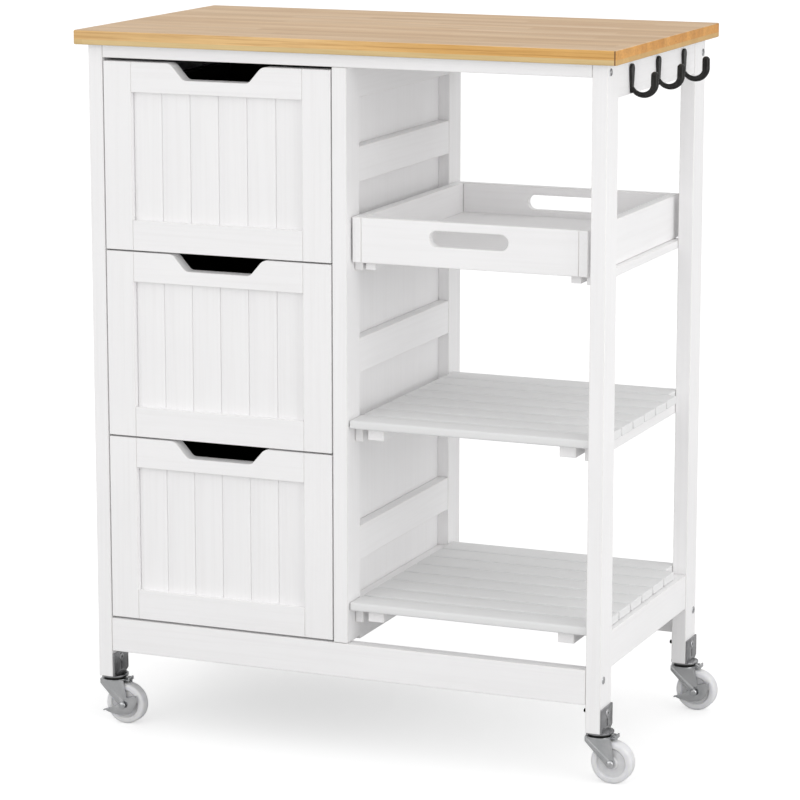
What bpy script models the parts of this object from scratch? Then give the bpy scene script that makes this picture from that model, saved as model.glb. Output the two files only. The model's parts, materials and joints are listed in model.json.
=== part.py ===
"""A rolling utility cart: a bamboo worktop on a painted wooden frame, with three
drawers on the left, a lift-out tray and two slatted shelves on the right, coat
hooks on the right end and four swivel casters.

Metres, +Z up. The cart's front faces -Y and its hook end faces +X. The origin is
on the floor, below the middle of the cart's overall box.
"""
import math

import bmesh
import bpy
from mathutils import Matrix, Vector

# Overall sizes.
HEIGHT = 0.845
TOP_WIDTH = 0.670
TOP_DEPTH = 0.380
TOP_THICK = 0.017
FRAME_WIDTH = 0.643
FRAME_DEPTH = 0.358
GAP = 0.0003                # between pieces that touch
UPRIGHT = (0, 0, 1)

# Casters.
CASTER_HEIGHT = 0.061
WHEEL_RADIUS = 0.025
WHEEL_WIDTH = 0.0175
RACE_SHIFT = 0.0024         # of the caster's upright axis from the post's middle, towards the plate
CASTER_TRAIL = 0.0166       # of the axle behind that axis
AXLE_RADIUS = 0.003
BORE_PLAY = 0.0004          # round the axle, in the wheel and the brake
WHEEL_CLEARANCE = 0.0013    # between the wheel and each fork leg
WHEEL_ROUND = 0.0035        # of the tread's edges
WHEEL_RECESS = 0.0015       # depth of the ring-shaped hollow in the wheel's sides
WHEEL_RECESS_SPAN = (0.0085, 0.0170)
WHEEL_HUB_PROUD = 0.0008
WHEEL_STEP = 0.001
SHEET = 0.0016              # thickness of the fork's sheet
AXLE_END = 0.0015           # how far the axle's ends stand out of the fork
AXLE_END_BRAKED = 0.0045
PLATE_THICK = 0.002         # of the bracket's plate and both race plates
PLATE_HEIGHT = 0.029        # how far the bracket's plate rises up the post
PLATE_MARGIN = 0.0005       # between the plate's sides and the post's
PLATE_FOOT = (0.012, 0.008)     # how far the plate's foot reaches forward and back
PLATE_CORNERS = (0.003, 0.006)  # height of the cut corners, front and rear
PLATE_SLOT = (0.006, 0.015)     # from the post's foot
PLATE_SLOT_WIDTH = 0.0034
UPPER_RACE_RADIUS = 0.0168
LOWER_RACE_RADIUS = 0.0163
BALL_RACE_RADIUS = 0.013
RACE_DEPTH = 0.005          # from the post's foot to the fork
BRACKET_RACE_SETBACK = 0.0004
KINGPIN_RADIUS = 0.004
KINGPIN_DROP = 0.0072
LEG_TOP = (0.0165, 0.0145)  # how far a fork leg reaches back and forward at the race
LEG_SHOULDER = 0.006
LEG_FOOT = 0.0055           # radius of the leg's round foot, about the axle
WEB_RUN = 0.0110            # of the front web down the legs' sloping edge
TAB_SPAN = (0.0145, 0.0222)
TAB_WIDTH = 0.012
TAB_LIP = 0.0024            # how far the tab's end is turned up
BRAKE_THICK = 0.0015
BRAKE_SHAPE = (             # seen from the front, in mm from the axle: one long arm and one broad one
    (-25.5, -7.8), (-21.0, -10.3), (-14.0, -11.8), (-7.0, -12.4), (0.0, -12.3), (6.0, -11.2),
    (11.0, -8.6), (14.5, -4.4), (17.0, 1.0), (19.2, 7.0), (18.6, 13.2), (12.0, 12.0),
    (6.0, 10.4), (4.6, 6.6), (0.0, 4.6), (-5.0, 2.2), (-11.0, -1.4), (-18.0, -5.0))
BRAKE_TREADS = ((10, 12, 0.0060), (17, 0, 0.0036))      # from corner to corner, and how far it stands out
TREAD_THICK = 0.0014

# Posts and rails.
POST_WIDTH = 0.018
POST_DEPTH = 0.0385
MID_POST_X = -0.0015        # centre of the middle posts, from the frame's centre
RAIL_THICK = 0.018
RAIL_SETBACK = 0.001        # of the right rails, from the posts' outer faces
PANEL_THICK = 0.0037
BACK_THICK = 0.004
SIDE_RAIL_THICK = 0.0137

# Depths below the worktop's top face.
FRONT_TOP_RAIL = (0.017, 0.032)
REAR_TOP_RAIL = (0.017, 0.057)
BOTTOM_RAIL = (0.7095, 0.751)
HOOK_RAIL = (0.017, 0.0575)
RIGHT_BOTTOM_RAIL = (0.6707, 0.714)
SIDE_TOP_RAIL = (0.017, 0.070)
SIDE_BOTTOM_RAIL = (0.663, 0.713)
DRAWER_RAIL_HEIGHT = 0.0415

# Drawers.
DRAWER_TOPS = (0.0358, 0.2601, 0.4847)
DRAWER_HEIGHT = 0.2224
DRAWER_SIDE_GAP = 0.0015
FRONT_THICK = 0.018
STILE = 0.0355
PANEL_RECESS = 0.007
PLANKS = 6
GROOVE_VEE = 0.0015         # depth of the grooves between the planks
FINGER_TOP = 0.117
FINGER_BOTTOM = 0.083
FINGER_DEPTH = 0.0195
FINGER_CORNER = 0.007
BOX_LENGTH = 0.308
BOX_CLEARANCE = 0.005
BOX_WALL = 0.012
BOX_FLOOR = 0.005
RUNNER_HEIGHT = 0.012
RUNNER_REACH = 0.009
RUNNER_SETBACK = 0.006      # of a runner's ends, from the posts
BOX_RAISE = 0.015           # of a drawer box, above its front's lower edge
BOX_LOWER = 0.030           # of a drawer box, below its front's upper edge
GROOVE_DEPTH = 0.005
GROOVE_PLAY = 0.0005

# Tray and shelves, in the open bay.
TRAY_TOP = 0.2045
TRAY_BOTTOM = 0.2574
TRAY_WIDTH = 0.287
TRAY_DEPTH = 0.333
TRAY_WALL = 0.011
TRAY_GAP = 0.002            # between the tray and the bay's left wall
TRAY_FLOOR = (0.241, 0.247)
TRAY_FRONT = 0.012          # behind the posts' front faces
SLOT_LENGTH = 0.096
SLOT_HEIGHT = 0.0185
SLOT_DROP = 0.0198          # from the tray's rim to the middle of its hand slots
SHELF_TOPS = (0.4422, 0.6604)
SLATS = 8
SLAT_DEPTH = 0.0375
SLAT_PITCH = 0.0416
SLAT_THICK = 0.010
SLAT_FRONT = 0.0045
SLAT_OVERRUN = 0.011        # how far the middle slats run past the right posts' faces
SHELF_GAP = 0.001           # between a shelf and the bay's left wall
CLEAT_WIDTH = 0.020
CLEAT_DROP = 0.014
CLEAT_INSET = (0.0196, 0.040)       # of the left cleat's left side and the right one's
CLEAT_SPAN = (0.016, 0.330)         # from the posts' front faces
TRAY_CLEAT = 0.012
TRAY_CLEAT_FOOT = 0.2669    # below the worktop's top
SUPPORT_WIDTH = 0.0102
SUPPORT_WIDTH_RIGHT = 0.0117
SUPPORT_HEIGHT_TRAY = 0.0105
SUPPORT_HEIGHT_SHELF = 0.018
SUPPORT_START = 0.023
MERGE = 0.001               # how far two shapes run into each other before a union
CUT = 0.010                 # how far a cutter runs past what it cuts

# Hooks.
HOOK_SPACING = 0.0955
HOOK_CENTRE_Y = -0.002
HOOK_PLATE = (0.0227, 0.0510)
HOOK_PLATE_WIDTH = 0.013
HOOK_PLATE_THICK = 0.003
HOOK_ROOT = 0.0045          # from the rail to the middle of the wire's straight part
HOOK_REACH = 0.0285
HOOK_BOTTOM = 0.0606
HOOK_WIRE = 0.0032          # radii
HOOK_TIP = 0.0044
HOOK_START = 0.030          # below the worktop's top: where the wire leaves the plate
HOOK_BALL = 0.0350          # and the middle of its round tip

# The cart's overall box is wider than its worktop by what the right wheels reach.
POST_X = FRAME_WIDTH / 2 - POST_WIDTH / 2
POST_Y = FRAME_DEPTH / 2 - POST_DEPTH / 2
REACH = POST_X + RACE_SHIFT + CASTER_TRAIL + WHEEL_RADIUS
CENTRE_X = -(REACH - TOP_WIDTH / 2) / 2

LEFT_FACE = -FRAME_WIDTH / 2
FRONT_FACE = -FRAME_DEPTH / 2
BAY_LEFT = MID_POST_X + POST_WIDTH / 2          # the open bay's left wall
BAY_RIGHT = FRAME_WIDTH / 2 - POST_WIDTH        # the right posts' inner faces
DRAWER_LEFT = LEFT_FACE + POST_WIDTH
DRAWER_RIGHT = MID_POST_X - POST_WIDTH / 2
DRAWER_MIDDLE = (DRAWER_LEFT + DRAWER_RIGHT) / 2

FINISHES = {                                    # colour, roughness, metallic
    "white_paint": ((0.84, 0.83, 0.83), 0.45, 0.0),
    "bamboo": ((0.72, 0.49, 0.27), 0.40, 0.0),
    "black_enamel": ((0.02, 0.02, 0.02), 0.25, 0.0),
    "black_laminate": ((0.025, 0.024, 0.023), 0.50, 0.0),
    "zinc": ((0.62, 0.62, 0.63), 0.30, 1.0),
    "frosted_plastic": ((0.78, 0.78, 0.79), 0.35, 0.0),
}


# ---------------------------------------------------------------- building blocks

def clear_scene():
    for obj in list(bpy.data.objects):
        bpy.data.objects.remove(obj, do_unlink=True)


def give_finish(obj, finish):
    """Give the object a material of its own, in one of the cart's finishes."""
    colour, roughness, metallic = FINISHES[finish]
    material = bpy.data.materials.new(f"{obj.name}_{finish}")
    material.use_nodes = True
    shader = material.node_tree.nodes["Principled BSDF"]
    shader.inputs["Base Color"].default_value = (*colour, 1.0)
    shader.inputs["Roughness"].default_value = roughness
    shader.inputs["Metallic"].default_value = metallic
    obj.data.materials.append(material)


def add_object(name, bm, origin=(0, 0, 0), finish=None, parent=None):
    """Make an object from a bmesh whose points are in the cart's own frame."""
    bmesh.ops.recalc_face_normals(bm, faces=bm.faces)
    bmesh.ops.translate(bm, vec=-Vector(origin), verts=bm.verts)
    mesh = bpy.data.meshes.new(name)
    bm.to_mesh(mesh)
    bm.free()
    obj = bpy.data.objects.new(name, mesh)
    bpy.context.scene.collection.objects.link(obj)
    obj.parent = parent
    obj.location = Vector(origin) - parent.location if parent else Vector(origin)
    if finish:
        give_finish(obj, finish)
    return obj


def add_box(bm, low, high):
    """Add a closed box between two corners."""
    size = Vector(high) - Vector(low)
    middle = (Vector(high) + Vector(low)) / 2
    matrix = Matrix.Translation(middle) @ Matrix.Diagonal((*size, 1))
    bmesh.ops.create_cube(bm, size=1, matrix=matrix)


def add_prism(bm, outline, direction):
    """Add the closed solid that an outline of 3-D points sweeps along a direction."""
    base = bm.faces.new([bm.verts.new(point) for point in outline])
    swept = bmesh.ops.extrude_face_region(bm, geom=[base])
    moved = [item for item in swept["geom"] if isinstance(item, bmesh.types.BMVert)]
    bmesh.ops.translate(bm, vec=Vector(direction), verts=moved)


def add_cylinder(bm, centre, axis, radius, length, segments=24):
    """Add a closed cylinder, centred on a point, along X, Y or Z."""
    turn = Vector((0, 0, 1)).rotation_difference(Vector(axis)).to_matrix().to_4x4()
    bmesh.ops.create_cone(
        bm, cap_ends=True, segments=segments, radius1=radius, radius2=radius,
        depth=length, matrix=Matrix.Translation(Vector(centre)) @ turn)


def box_object(name, low, high, finish, parent=None):
    bm = bmesh.new()
    add_box(bm, low, high)
    middle = (Vector(low) + Vector(high)) / 2
    return add_object(name, bm, middle, finish, parent)


def boolean(obj, bm, operation, label):
    """Cut a shape from an object, or unite the two."""
    cutter = add_object(f"{obj.name}_{label}", bm)
    cutter.hide_render = True
    cutter.hide_set(True)
    cutter.display_type = "WIRE"
    modifier = obj.modifiers.new(label, "BOOLEAN")
    modifier.operation = operation
    modifier.solver = "EXACT"
    modifier.object = cutter


def shade_round(obj, angle=40):
    obj.data.shade_smooth()
    obj.data.set_sharp_from_angle(angle=math.radians(angle))


def joint_empty(name, place):
    """An empty on a joint's axis, which the moving pieces are parented to."""
    empty = bpy.data.objects.new(name, None)
    empty.empty_display_size = 0.02
    bpy.context.scene.collection.objects.link(empty)
    empty.location = place
    return empty


def at(x, y, z):
    """A point given from the frame's centre line, in the cart's own frame."""
    return Vector((CENTRE_X + x, y, z))


def below_top(depth):
    return HEIGHT - depth


# ---------------------------------------------------------------- worktop and frame

def make_worktop():
    low = at(-TOP_WIDTH / 2, -TOP_DEPTH / 2, HEIGHT - TOP_THICK)
    high = at(TOP_WIDTH / 2, TOP_DEPTH / 2, HEIGHT)
    box_object("worktop", low, high, "bamboo")


def post(name, x, y, bottom, top):
    low = at(x - POST_WIDTH / 2, y - POST_DEPTH / 2, bottom)
    high = at(x + POST_WIDTH / 2, y + POST_DEPTH / 2, top)
    box_object(name, low, high, "white_paint")


def make_posts():
    under_top = HEIGHT - TOP_THICK - GAP
    for end, y, top_rail in (("front", -POST_Y, FRONT_TOP_RAIL), ("rear", POST_Y, REAR_TOP_RAIL)):
        for side, x in (("left", -POST_X), ("right", POST_X)):
            post(f"{end}_{side}_post", x, y, CASTER_HEIGHT, under_top)
        bottom = below_top(BOTTOM_RAIL[0]) + GAP
        post(f"{end}_middle_post", MID_POST_X, y, bottom, below_top(top_rail[1]) - GAP)


def long_rail(name, band, y_low, y_high):
    """A rail that runs the cart's length, between the outer posts."""
    half = FRAME_WIDTH / 2 - POST_WIDTH - GAP
    low = at(-half, y_low, below_top(band[1]))
    high = at(half, y_high, below_top(band[0]) - GAP)
    box_object(name, low, high, "white_paint")


def make_long_rails():
    front = (FRONT_FACE, FRONT_FACE + RAIL_THICK)
    rear = (-FRONT_FACE - RAIL_THICK, -FRONT_FACE)
    long_rail("front_top_rail", FRONT_TOP_RAIL, *front)
    long_rail("front_bottom_rail", BOTTOM_RAIL, *front)
    long_rail("rear_top_rail", REAR_TOP_RAIL, *rear)
    long_rail("rear_bottom_rail", BOTTOM_RAIL, *rear)


def cross_rail(name, band, x_low, x_high):
    """A rail that runs from front to rear, between two posts."""
    half = FRAME_DEPTH / 2 - POST_DEPTH - GAP
    low = at(x_low, -half, below_top(band[1]))
    high = at(x_high, half, below_top(band[0]) - GAP)
    return box_object(name, low, high, "white_paint")


def make_right_rails():
    outer = FRAME_WIDTH / 2 - RAIL_SETBACK
    cross_rail("hook_rail", HOOK_RAIL, outer - RAIL_THICK, outer)
    cross_rail("right_bottom_rail", RIGHT_BOTTOM_RAIL, outer - RAIL_THICK, outer)


def drawer_rail_band(index):
    middle = DRAWER_TOPS[index] + DRAWER_HEIGHT / 2
    return (middle - DRAWER_RAIL_HEIGHT / 2, middle + DRAWER_RAIL_HEIGHT / 2)


def runner_box(index, side, play=0.0):
    """Corners of the runner strip beside one drawer, grown by some play."""
    wall = DRAWER_RIGHT - DRAWER_MIDDLE
    near, far = wall - RUNNER_REACH, wall + PANEL_THICK + MERGE
    xs = sorted((DRAWER_MIDDLE + side * near, DRAWER_MIDDLE + side * far))
    half = FRAME_DEPTH / 2 - POST_DEPTH - RUNNER_SETBACK + play
    middle = below_top(sum(drawer_rail_band(index)) / 2)
    z_low = middle - RUNNER_HEIGHT / 2 - play
    z_high = middle + RUNNER_HEIGHT / 2 + play
    return at(xs[0], -half, z_low), at(xs[1], half, z_high)


def make_side(label, side):
    """Rails and a thin panel beside the drawers: the left end, or the partition."""
    wall = abs(DRAWER_RIGHT - DRAWER_MIDDLE)
    panel_outer = wall + PANEL_THICK
    rail = sorted((DRAWER_MIDDLE + side * (panel_outer + GAP),
                   DRAWER_MIDDLE + side * (panel_outer + SIDE_RAIL_THICK)))
    cross_rail(f"{label}_top_rail", SIDE_TOP_RAIL, *rail)
    cross_rail(f"{label}_bottom_rail", SIDE_BOTTOM_RAIL, *rail)
    sheet = sorted((DRAWER_MIDDLE + side * (wall + GAP), DRAWER_MIDDLE + side * panel_outer))
    panel = cross_rail(f"{label}_panel", (SIDE_TOP_RAIL[0], SIDE_BOTTOM_RAIL[1]), *sheet)
    for index in range(len(DRAWER_TOPS)):
        name = f"{label}_drawer_rail_{index + 1}"
        drawer_rail = cross_rail(name, drawer_rail_band(index), *rail)
        runner = bmesh.new()
        add_box(runner, *runner_box(index, side))
        boolean(drawer_rail, runner, "UNION", "runner")
        slot = bmesh.new()
        add_box(slot, *runner_box(index, side, play=GAP))
        boolean(panel, slot, "DIFFERENCE", f"slot_{index + 1}")


def make_back_panel():
    middle = -FRONT_FACE - RAIL_THICK / 2
    low = at(DRAWER_LEFT + GAP, middle - BACK_THICK / 2, below_top(BOTTOM_RAIL[0]) + GAP)
    high = at(DRAWER_RIGHT - GAP, middle + BACK_THICK / 2, below_top(REAR_TOP_RAIL[1]) - GAP)
    box_object("back_panel", low, high, "white_paint")


# ---------------------------------------------------------------- drawers

def arc(centre_x, centre_z, radius, start, end, steps=5):
    """Points (x, z) along an arc, from one angle to another."""
    points = []
    for step in range(steps + 1):
        angle = start + (end - start) * step / steps
        points.append((centre_x + radius * math.cos(angle), centre_z + radius * math.sin(angle)))
    return points


def finger_outline(y, z_top):
    """The finger notch: a shallow trough whose sides run in and out on small arcs."""
    slope = math.atan2(FINGER_DEPTH, (FINGER_TOP - FINGER_BOTTOM) / 2)
    setback = FINGER_CORNER * math.tan(slope / 2)
    upper_x = FINGER_TOP / 2 + setback
    lower_x = FINGER_BOTTOM / 2 - setback
    quarter = math.pi / 2
    right = [(upper_x, FINGER_CORNER)]
    right += arc(upper_x, -FINGER_CORNER, FINGER_CORNER, quarter, quarter + slope)
    right += arc(lower_x, FINGER_CORNER - FINGER_DEPTH, FINGER_CORNER, slope - quarter, -quarter)
    left = [(-x, z) for x, z in reversed(right)]
    return [at(DRAWER_MIDDLE + x, y, z_top + z) for x, z in right + left]


def make_drawer_front(name, low, high, parent):
    front = box_object(name, low, high, "white_paint", parent)
    panel = bmesh.new()
    pocket_low = low + Vector((STILE, -CUT, STILE))
    pocket_high = Vector((high.x - STILE, low.y + PANEL_RECESS, high.z - STILE))
    add_box(panel, pocket_low, pocket_high)
    boolean(front, panel, "DIFFERENCE", "pocket")
    grooves = bmesh.new()
    pitch = (pocket_high.x - pocket_low.x) / PLANKS
    y = low.y + PANEL_RECESS
    bottom = pocket_low.z + GAP
    for index in range(1, PLANKS):
        x = pocket_low.x + index * pitch
        vee = [(x - 2 * GROOVE_VEE, y - GROOVE_VEE, bottom), (x, y + GROOVE_VEE, bottom),
               (x + 2 * GROOVE_VEE, y - GROOVE_VEE, bottom)]
        add_prism(grooves, vee, (0, 0, pocket_high.z - pocket_low.z - 2 * GAP))
    boolean(front, grooves, "DIFFERENCE", "grooves")
    notch = bmesh.new()
    outline = finger_outline(low.y - CUT, high.z)
    add_prism(notch, outline, (0, FRONT_THICK + 2 * CUT, 0))
    boolean(front, notch, "DIFFERENCE", "finger_notch")


def make_drawer_box(name, index, front_low, front_high, parent):
    """Sides, back and floor as one carcass, open at the front and the top."""
    half = (DRAWER_RIGHT - DRAWER_LEFT) / 2 - BOX_CLEARANCE
    middle_x = CENTRE_X + DRAWER_MIDDLE
    start = front_high.y + GAP
    low = Vector((middle_x - half, start, front_low.z + BOX_RAISE))
    high = Vector((middle_x + half, start + BOX_LENGTH, front_high.z - BOX_LOWER))
    box = box_object(name, low, high, "black_laminate", parent)
    hollow = bmesh.new()
    hollow_low = low + Vector((BOX_WALL, -CUT, BOX_FLOOR))
    add_box(hollow, hollow_low, high + Vector((-BOX_WALL, -BOX_WALL, CUT)))
    boolean(box, hollow, "DIFFERENCE", "hollow")
    middle_z = below_top(sum(drawer_rail_band(index)) / 2)
    reach = RUNNER_HEIGHT / 2 + GROOVE_PLAY
    for side, x_wall in (("left", low.x), ("right", high.x)):
        groove = bmesh.new()
        add_box(groove, (x_wall - GROOVE_DEPTH, low.y - CUT, middle_z - reach),
                (x_wall + GROOVE_DEPTH, high.y + CUT, middle_z + reach))
        boolean(box, groove, "DIFFERENCE", f"{side}_groove")


def make_drawers():
    for index, top in enumerate(DRAWER_TOPS):
        low = at(DRAWER_LEFT + DRAWER_SIDE_GAP, FRONT_FACE, below_top(top + DRAWER_HEIGHT))
        high = at(DRAWER_RIGHT - DRAWER_SIDE_GAP, FRONT_FACE + FRONT_THICK, below_top(top))
        slide = joint_empty(f"drawer_{index + 1}_slide", (low + high) / 2)
        make_drawer_front(f"drawer_front_{index + 1}", low, high, slide)
        make_drawer_box(f"drawer_box_{index + 1}", index, low, high, slide)


# ---------------------------------------------------------------- the open bay

def support(name, x_low, top_depth, height, width=SUPPORT_WIDTH):
    """A strip along the bay's wall that a shelf or the tray rests on."""
    low = at(x_low, FRONT_FACE + SUPPORT_START, below_top(top_depth + height))
    high = at(x_low + width, -FRONT_FACE - SUPPORT_START, below_top(top_depth) - GAP)
    box_object(name, low, high, "white_paint")


def make_supports():
    left = BAY_LEFT + GAP
    right = BAY_RIGHT - GAP - SUPPORT_WIDTH_RIGHT
    middle, bottom = [top + SLAT_THICK for top in SHELF_TOPS]
    support("tray_support_left", left, TRAY_BOTTOM, SUPPORT_HEIGHT_TRAY)
    support("tray_support_right", right, TRAY_BOTTOM, SUPPORT_HEIGHT_TRAY, SUPPORT_WIDTH_RIGHT)
    support("middle_shelf_support_left", left, middle, SUPPORT_HEIGHT_SHELF)
    support("middle_shelf_support_right", right, middle, SUPPORT_HEIGHT_SHELF, SUPPORT_WIDTH_RIGHT)
    support("bottom_shelf_support_left", left, bottom, SUPPORT_HEIGHT_SHELF)


def make_shelf(name, top_depth):
    """Slats on two cleats. The end slats stop at the posts, the others run past."""
    bm = bmesh.new()
    left = BAY_LEFT + SHELF_GAP
    z_low, z_high = below_top(top_depth + SLAT_THICK), below_top(top_depth)
    for index in range(SLATS):
        is_end = index in (0, SLATS - 1)
        right = BAY_RIGHT - GAP if is_end else BAY_RIGHT + SLAT_OVERRUN
        y = FRONT_FACE + SLAT_FRONT + index * SLAT_PITCH
        add_box(bm, at(left, y, z_low), at(right, y + SLAT_DEPTH, z_high))
    shelf = add_object(name, bm, at(0, 0, z_high), "white_paint")
    cleats = bmesh.new()
    for x in (BAY_LEFT + CLEAT_INSET[0], BAY_RIGHT - CLEAT_INSET[1]):
        low = at(x, FRONT_FACE + CLEAT_SPAN[0], z_low - CLEAT_DROP)
        high = at(x + CLEAT_WIDTH, FRONT_FACE + CLEAT_SPAN[1], z_low + MERGE)
        add_box(cleats, low, high)
    boolean(shelf, cleats, "UNION", "cleats")


def stadium(middle, length, height):
    """A slot outline with round ends, in a plane that faces the front."""
    radius = height / 2
    reach = length / 2 - radius
    points = []
    steps = 8
    for end, start in ((1, math.pi / 2), (-1, -math.pi / 2)):
        for step in range(steps + 1):
            angle = start - math.pi * step / steps
            offset = (end * reach + radius * math.cos(angle), 0, radius * math.sin(angle))
            points.append(middle + Vector(offset))
    return points


def make_tray():
    left = BAY_LEFT + TRAY_GAP
    low = at(left, FRONT_FACE + TRAY_FRONT, below_top(TRAY_BOTTOM))
    high = at(left + TRAY_WIDTH, FRONT_FACE + TRAY_FRONT + TRAY_DEPTH, below_top(TRAY_TOP))
    slide = joint_empty("tray_slide", (low + high) / 2)
    walls = box_object("tray_walls", low, high, "white_paint", slide)
    hollow = bmesh.new()
    wall = Vector((TRAY_WALL, TRAY_WALL, 0))
    add_box(hollow, low + wall - Vector((0, 0, CUT)), high - wall + Vector((0, 0, CUT)))
    boolean(walls, hollow, "DIFFERENCE", "inside")
    slots = bmesh.new()
    for y in (low.y, high.y):
        middle = Vector(((low.x + high.x) / 2, y - 1.2 * TRAY_WALL, high.z - SLOT_DROP))
        add_prism(slots, stadium(middle, SLOT_LENGTH, SLOT_HEIGHT), (0, 2.4 * TRAY_WALL, 0))
    boolean(walls, slots, "DIFFERENCE", "hand_slots")

    z_low, z_high = below_top(TRAY_FLOOR[1]), below_top(TRAY_FLOOR[0])
    inside = Vector((TRAY_WALL + GAP, TRAY_WALL + GAP, 0))
    floor_low = Vector((low.x, low.y, z_low)) + inside
    floor_high = Vector((high.x, high.y, z_high)) - inside
    floor = box_object("tray_floor", floor_low, floor_high, "white_paint", slide)
    cleats = bmesh.new()
    edge = 2 * GAP
    for x in (floor_low.x + edge, floor_high.x - edge - TRAY_CLEAT):
        add_box(cleats, (x, floor_low.y + MERGE, below_top(TRAY_CLEAT_FOOT)),
                (x + TRAY_CLEAT, floor_high.y - MERGE, z_low + MERGE))
    boolean(floor, cleats, "UNION", "cleats")


# ---------------------------------------------------------------- hooks

def hook_path():
    """Points (outward, below the worktop's top, radius) along the hook's bent wire."""
    bend = (HOOK_REACH - HOOK_ROOT) / 2
    centre = HOOK_ROOT + bend
    turn = HOOK_BOTTOM - HOOK_WIRE - bend
    path = [(HOOK_ROOT, HOOK_START, HOOK_WIRE)]
    steps = 10
    for step in range(steps + 1):
        angle = math.pi * step / steps
        path.append((centre - bend * math.cos(angle), turn + bend * math.sin(angle), HOOK_WIRE))
    ball_steps = 4
    for step in range(ball_steps + 1):
        angle = math.radians(-45 + 120 * step / ball_steps)
        path.append((HOOK_REACH, HOOK_BALL - HOOK_TIP * math.sin(angle), HOOK_TIP * math.cos(angle)))
    return path


def add_bent_rod(bm, points, segments=10):
    """A closed rod through points (position, radius), all in one X-Z plane."""
    rings = []
    last = len(points) - 1
    for index, (place, radius) in enumerate(points):
        ahead = points[min(index + 1, last)][0] - points[max(index - 1, 0)][0]
        across = Vector((0, 1, 0))
        upward = ahead.normalized().cross(across)
        ring = []
        for step in range(segments):
            angle = 2 * math.pi * step / segments
            spoke = math.cos(angle) * across + math.sin(angle) * upward
            ring.append(bm.verts.new(place + radius * spoke))
        rings.append(ring)
    for ring, following in zip(rings, rings[1:]):
        for step in range(segments):
            after = (step + 1) % segments
            bm.faces.new((ring[step], ring[after], following[after], following[step]))
    bm.faces.new(list(reversed(rings[0])))
    bm.faces.new(rings[-1])


def make_hooks():
    face = FRAME_WIDTH / 2 - RAIL_SETBACK + GAP
    for index in range(3):
        y = HOOK_CENTRE_Y + (index - 1) * HOOK_SPACING
        low = at(face, y - HOOK_PLATE_WIDTH / 2, below_top(HOOK_PLATE[1]))
        high = at(face + HOOK_PLATE_THICK, y + HOOK_PLATE_WIDTH / 2, below_top(HOOK_PLATE[0]))
        plate = box_object(f"hook_{index + 1}", low, high, "black_enamel")
        rod = bmesh.new()
        add_bent_rod(rod, [(at(face + out, y, below_top(down)), radius) for out, down, radius in hook_path()])
        boolean(plate, rod, "UNION", "arm")


# ---------------------------------------------------------------- casters

def make_bracket(name, post_x, x, y):
    """The fixed half: an angle plate on the post, the upper race and the kingpin."""
    top = CASTER_HEIGHT - GAP
    under = top - PLATE_THICK
    disc = bmesh.new()
    add_cylinder(disc, at(x, y, top - PLATE_THICK / 2), UPRIGHT, UPPER_RACE_RADIUS, PLATE_THICK, 32)
    bracket = add_object(name, disc, at(x, y, top), "zinc")
    shade_round(bracket)
    face = post_x + POST_WIDTH / 2 + GAP
    half = POST_DEPTH / 2 - PLATE_MARGIN
    front_foot, rear_foot = PLATE_FOOT
    front_corner, rear_corner = PLATE_CORNERS
    plate = bmesh.new()
    outline = [at(face, y - front_foot, under), at(face, y + rear_foot, under),
               at(face, y + half, under + rear_corner), at(face, y + half, top + PLATE_HEIGHT),
               at(face, y - half, top + PLATE_HEIGHT), at(face, y - half, under + front_corner)]
    add_prism(plate, outline, (PLATE_THICK, 0, 0))
    boolean(bracket, plate, "UNION", "side_plate")
    slot = bmesh.new()
    slot_foot, slot_head = PLATE_SLOT
    add_box(slot, at(face - MERGE, y - PLATE_SLOT_WIDTH / 2, top + slot_foot),
            at(face + PLATE_THICK + MERGE, y + PLATE_SLOT_WIDTH / 2, top + slot_head))
    boolean(bracket, slot, "DIFFERENCE", "slot")
    race = bmesh.new()
    race_foot = top - RACE_DEPTH + 2 * GAP - BRACKET_RACE_SETBACK
    race_depth = under - race_foot + GAP
    add_cylinder(race, at(x, y, race_foot + race_depth / 2), UPRIGHT, BALL_RACE_RADIUS, race_depth, 32)
    boolean(bracket, race, "UNION", "race")
    pin = bmesh.new()
    add_cylinder(pin, at(x, y, race_foot - KINGPIN_DROP / 2 + MERGE / 2), UPRIGHT,
                 KINGPIN_RADIUS, KINGPIN_DROP + MERGE, 16)
    boolean(bracket, pin, "UNION", "kingpin")


def leg_outline(x, y, axle, top):
    """One fork leg seen from the side: wide at the race, narrow at the axle."""
    back, front = LEG_TOP
    points = [at(x - front, y, top), at(x - front, y, top - LEG_SHOULDER)]
    steps = 6
    for step in range(steps + 1):
        angle = math.radians(215 + 150 * step / steps)
        points.append(axle + Vector((LEG_FOOT * math.cos(angle), y - axle.y, LEG_FOOT * math.sin(angle))))
    points.append(at(x + back, y, top))
    return points


def web_outline(x, y, axle, top):
    """The front web seen from the side: upright at the race, then down the legs' slope."""
    start = at(x - LEG_TOP[1] - GAP, y, top - LEG_SHOULDER)
    foot_angle = math.radians(215)
    foot = axle + Vector((LEG_FOOT * math.cos(foot_angle), y - axle.y, LEG_FOOT * math.sin(foot_angle)))
    end = start + WEB_RUN * (foot - start).normalized()
    inward = Vector((SHEET, 0, 0))
    head = at(x - LEG_TOP[1] - GAP, y, top)
    return [head, start, end, end + inward, start + inward, head + inward]


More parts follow.
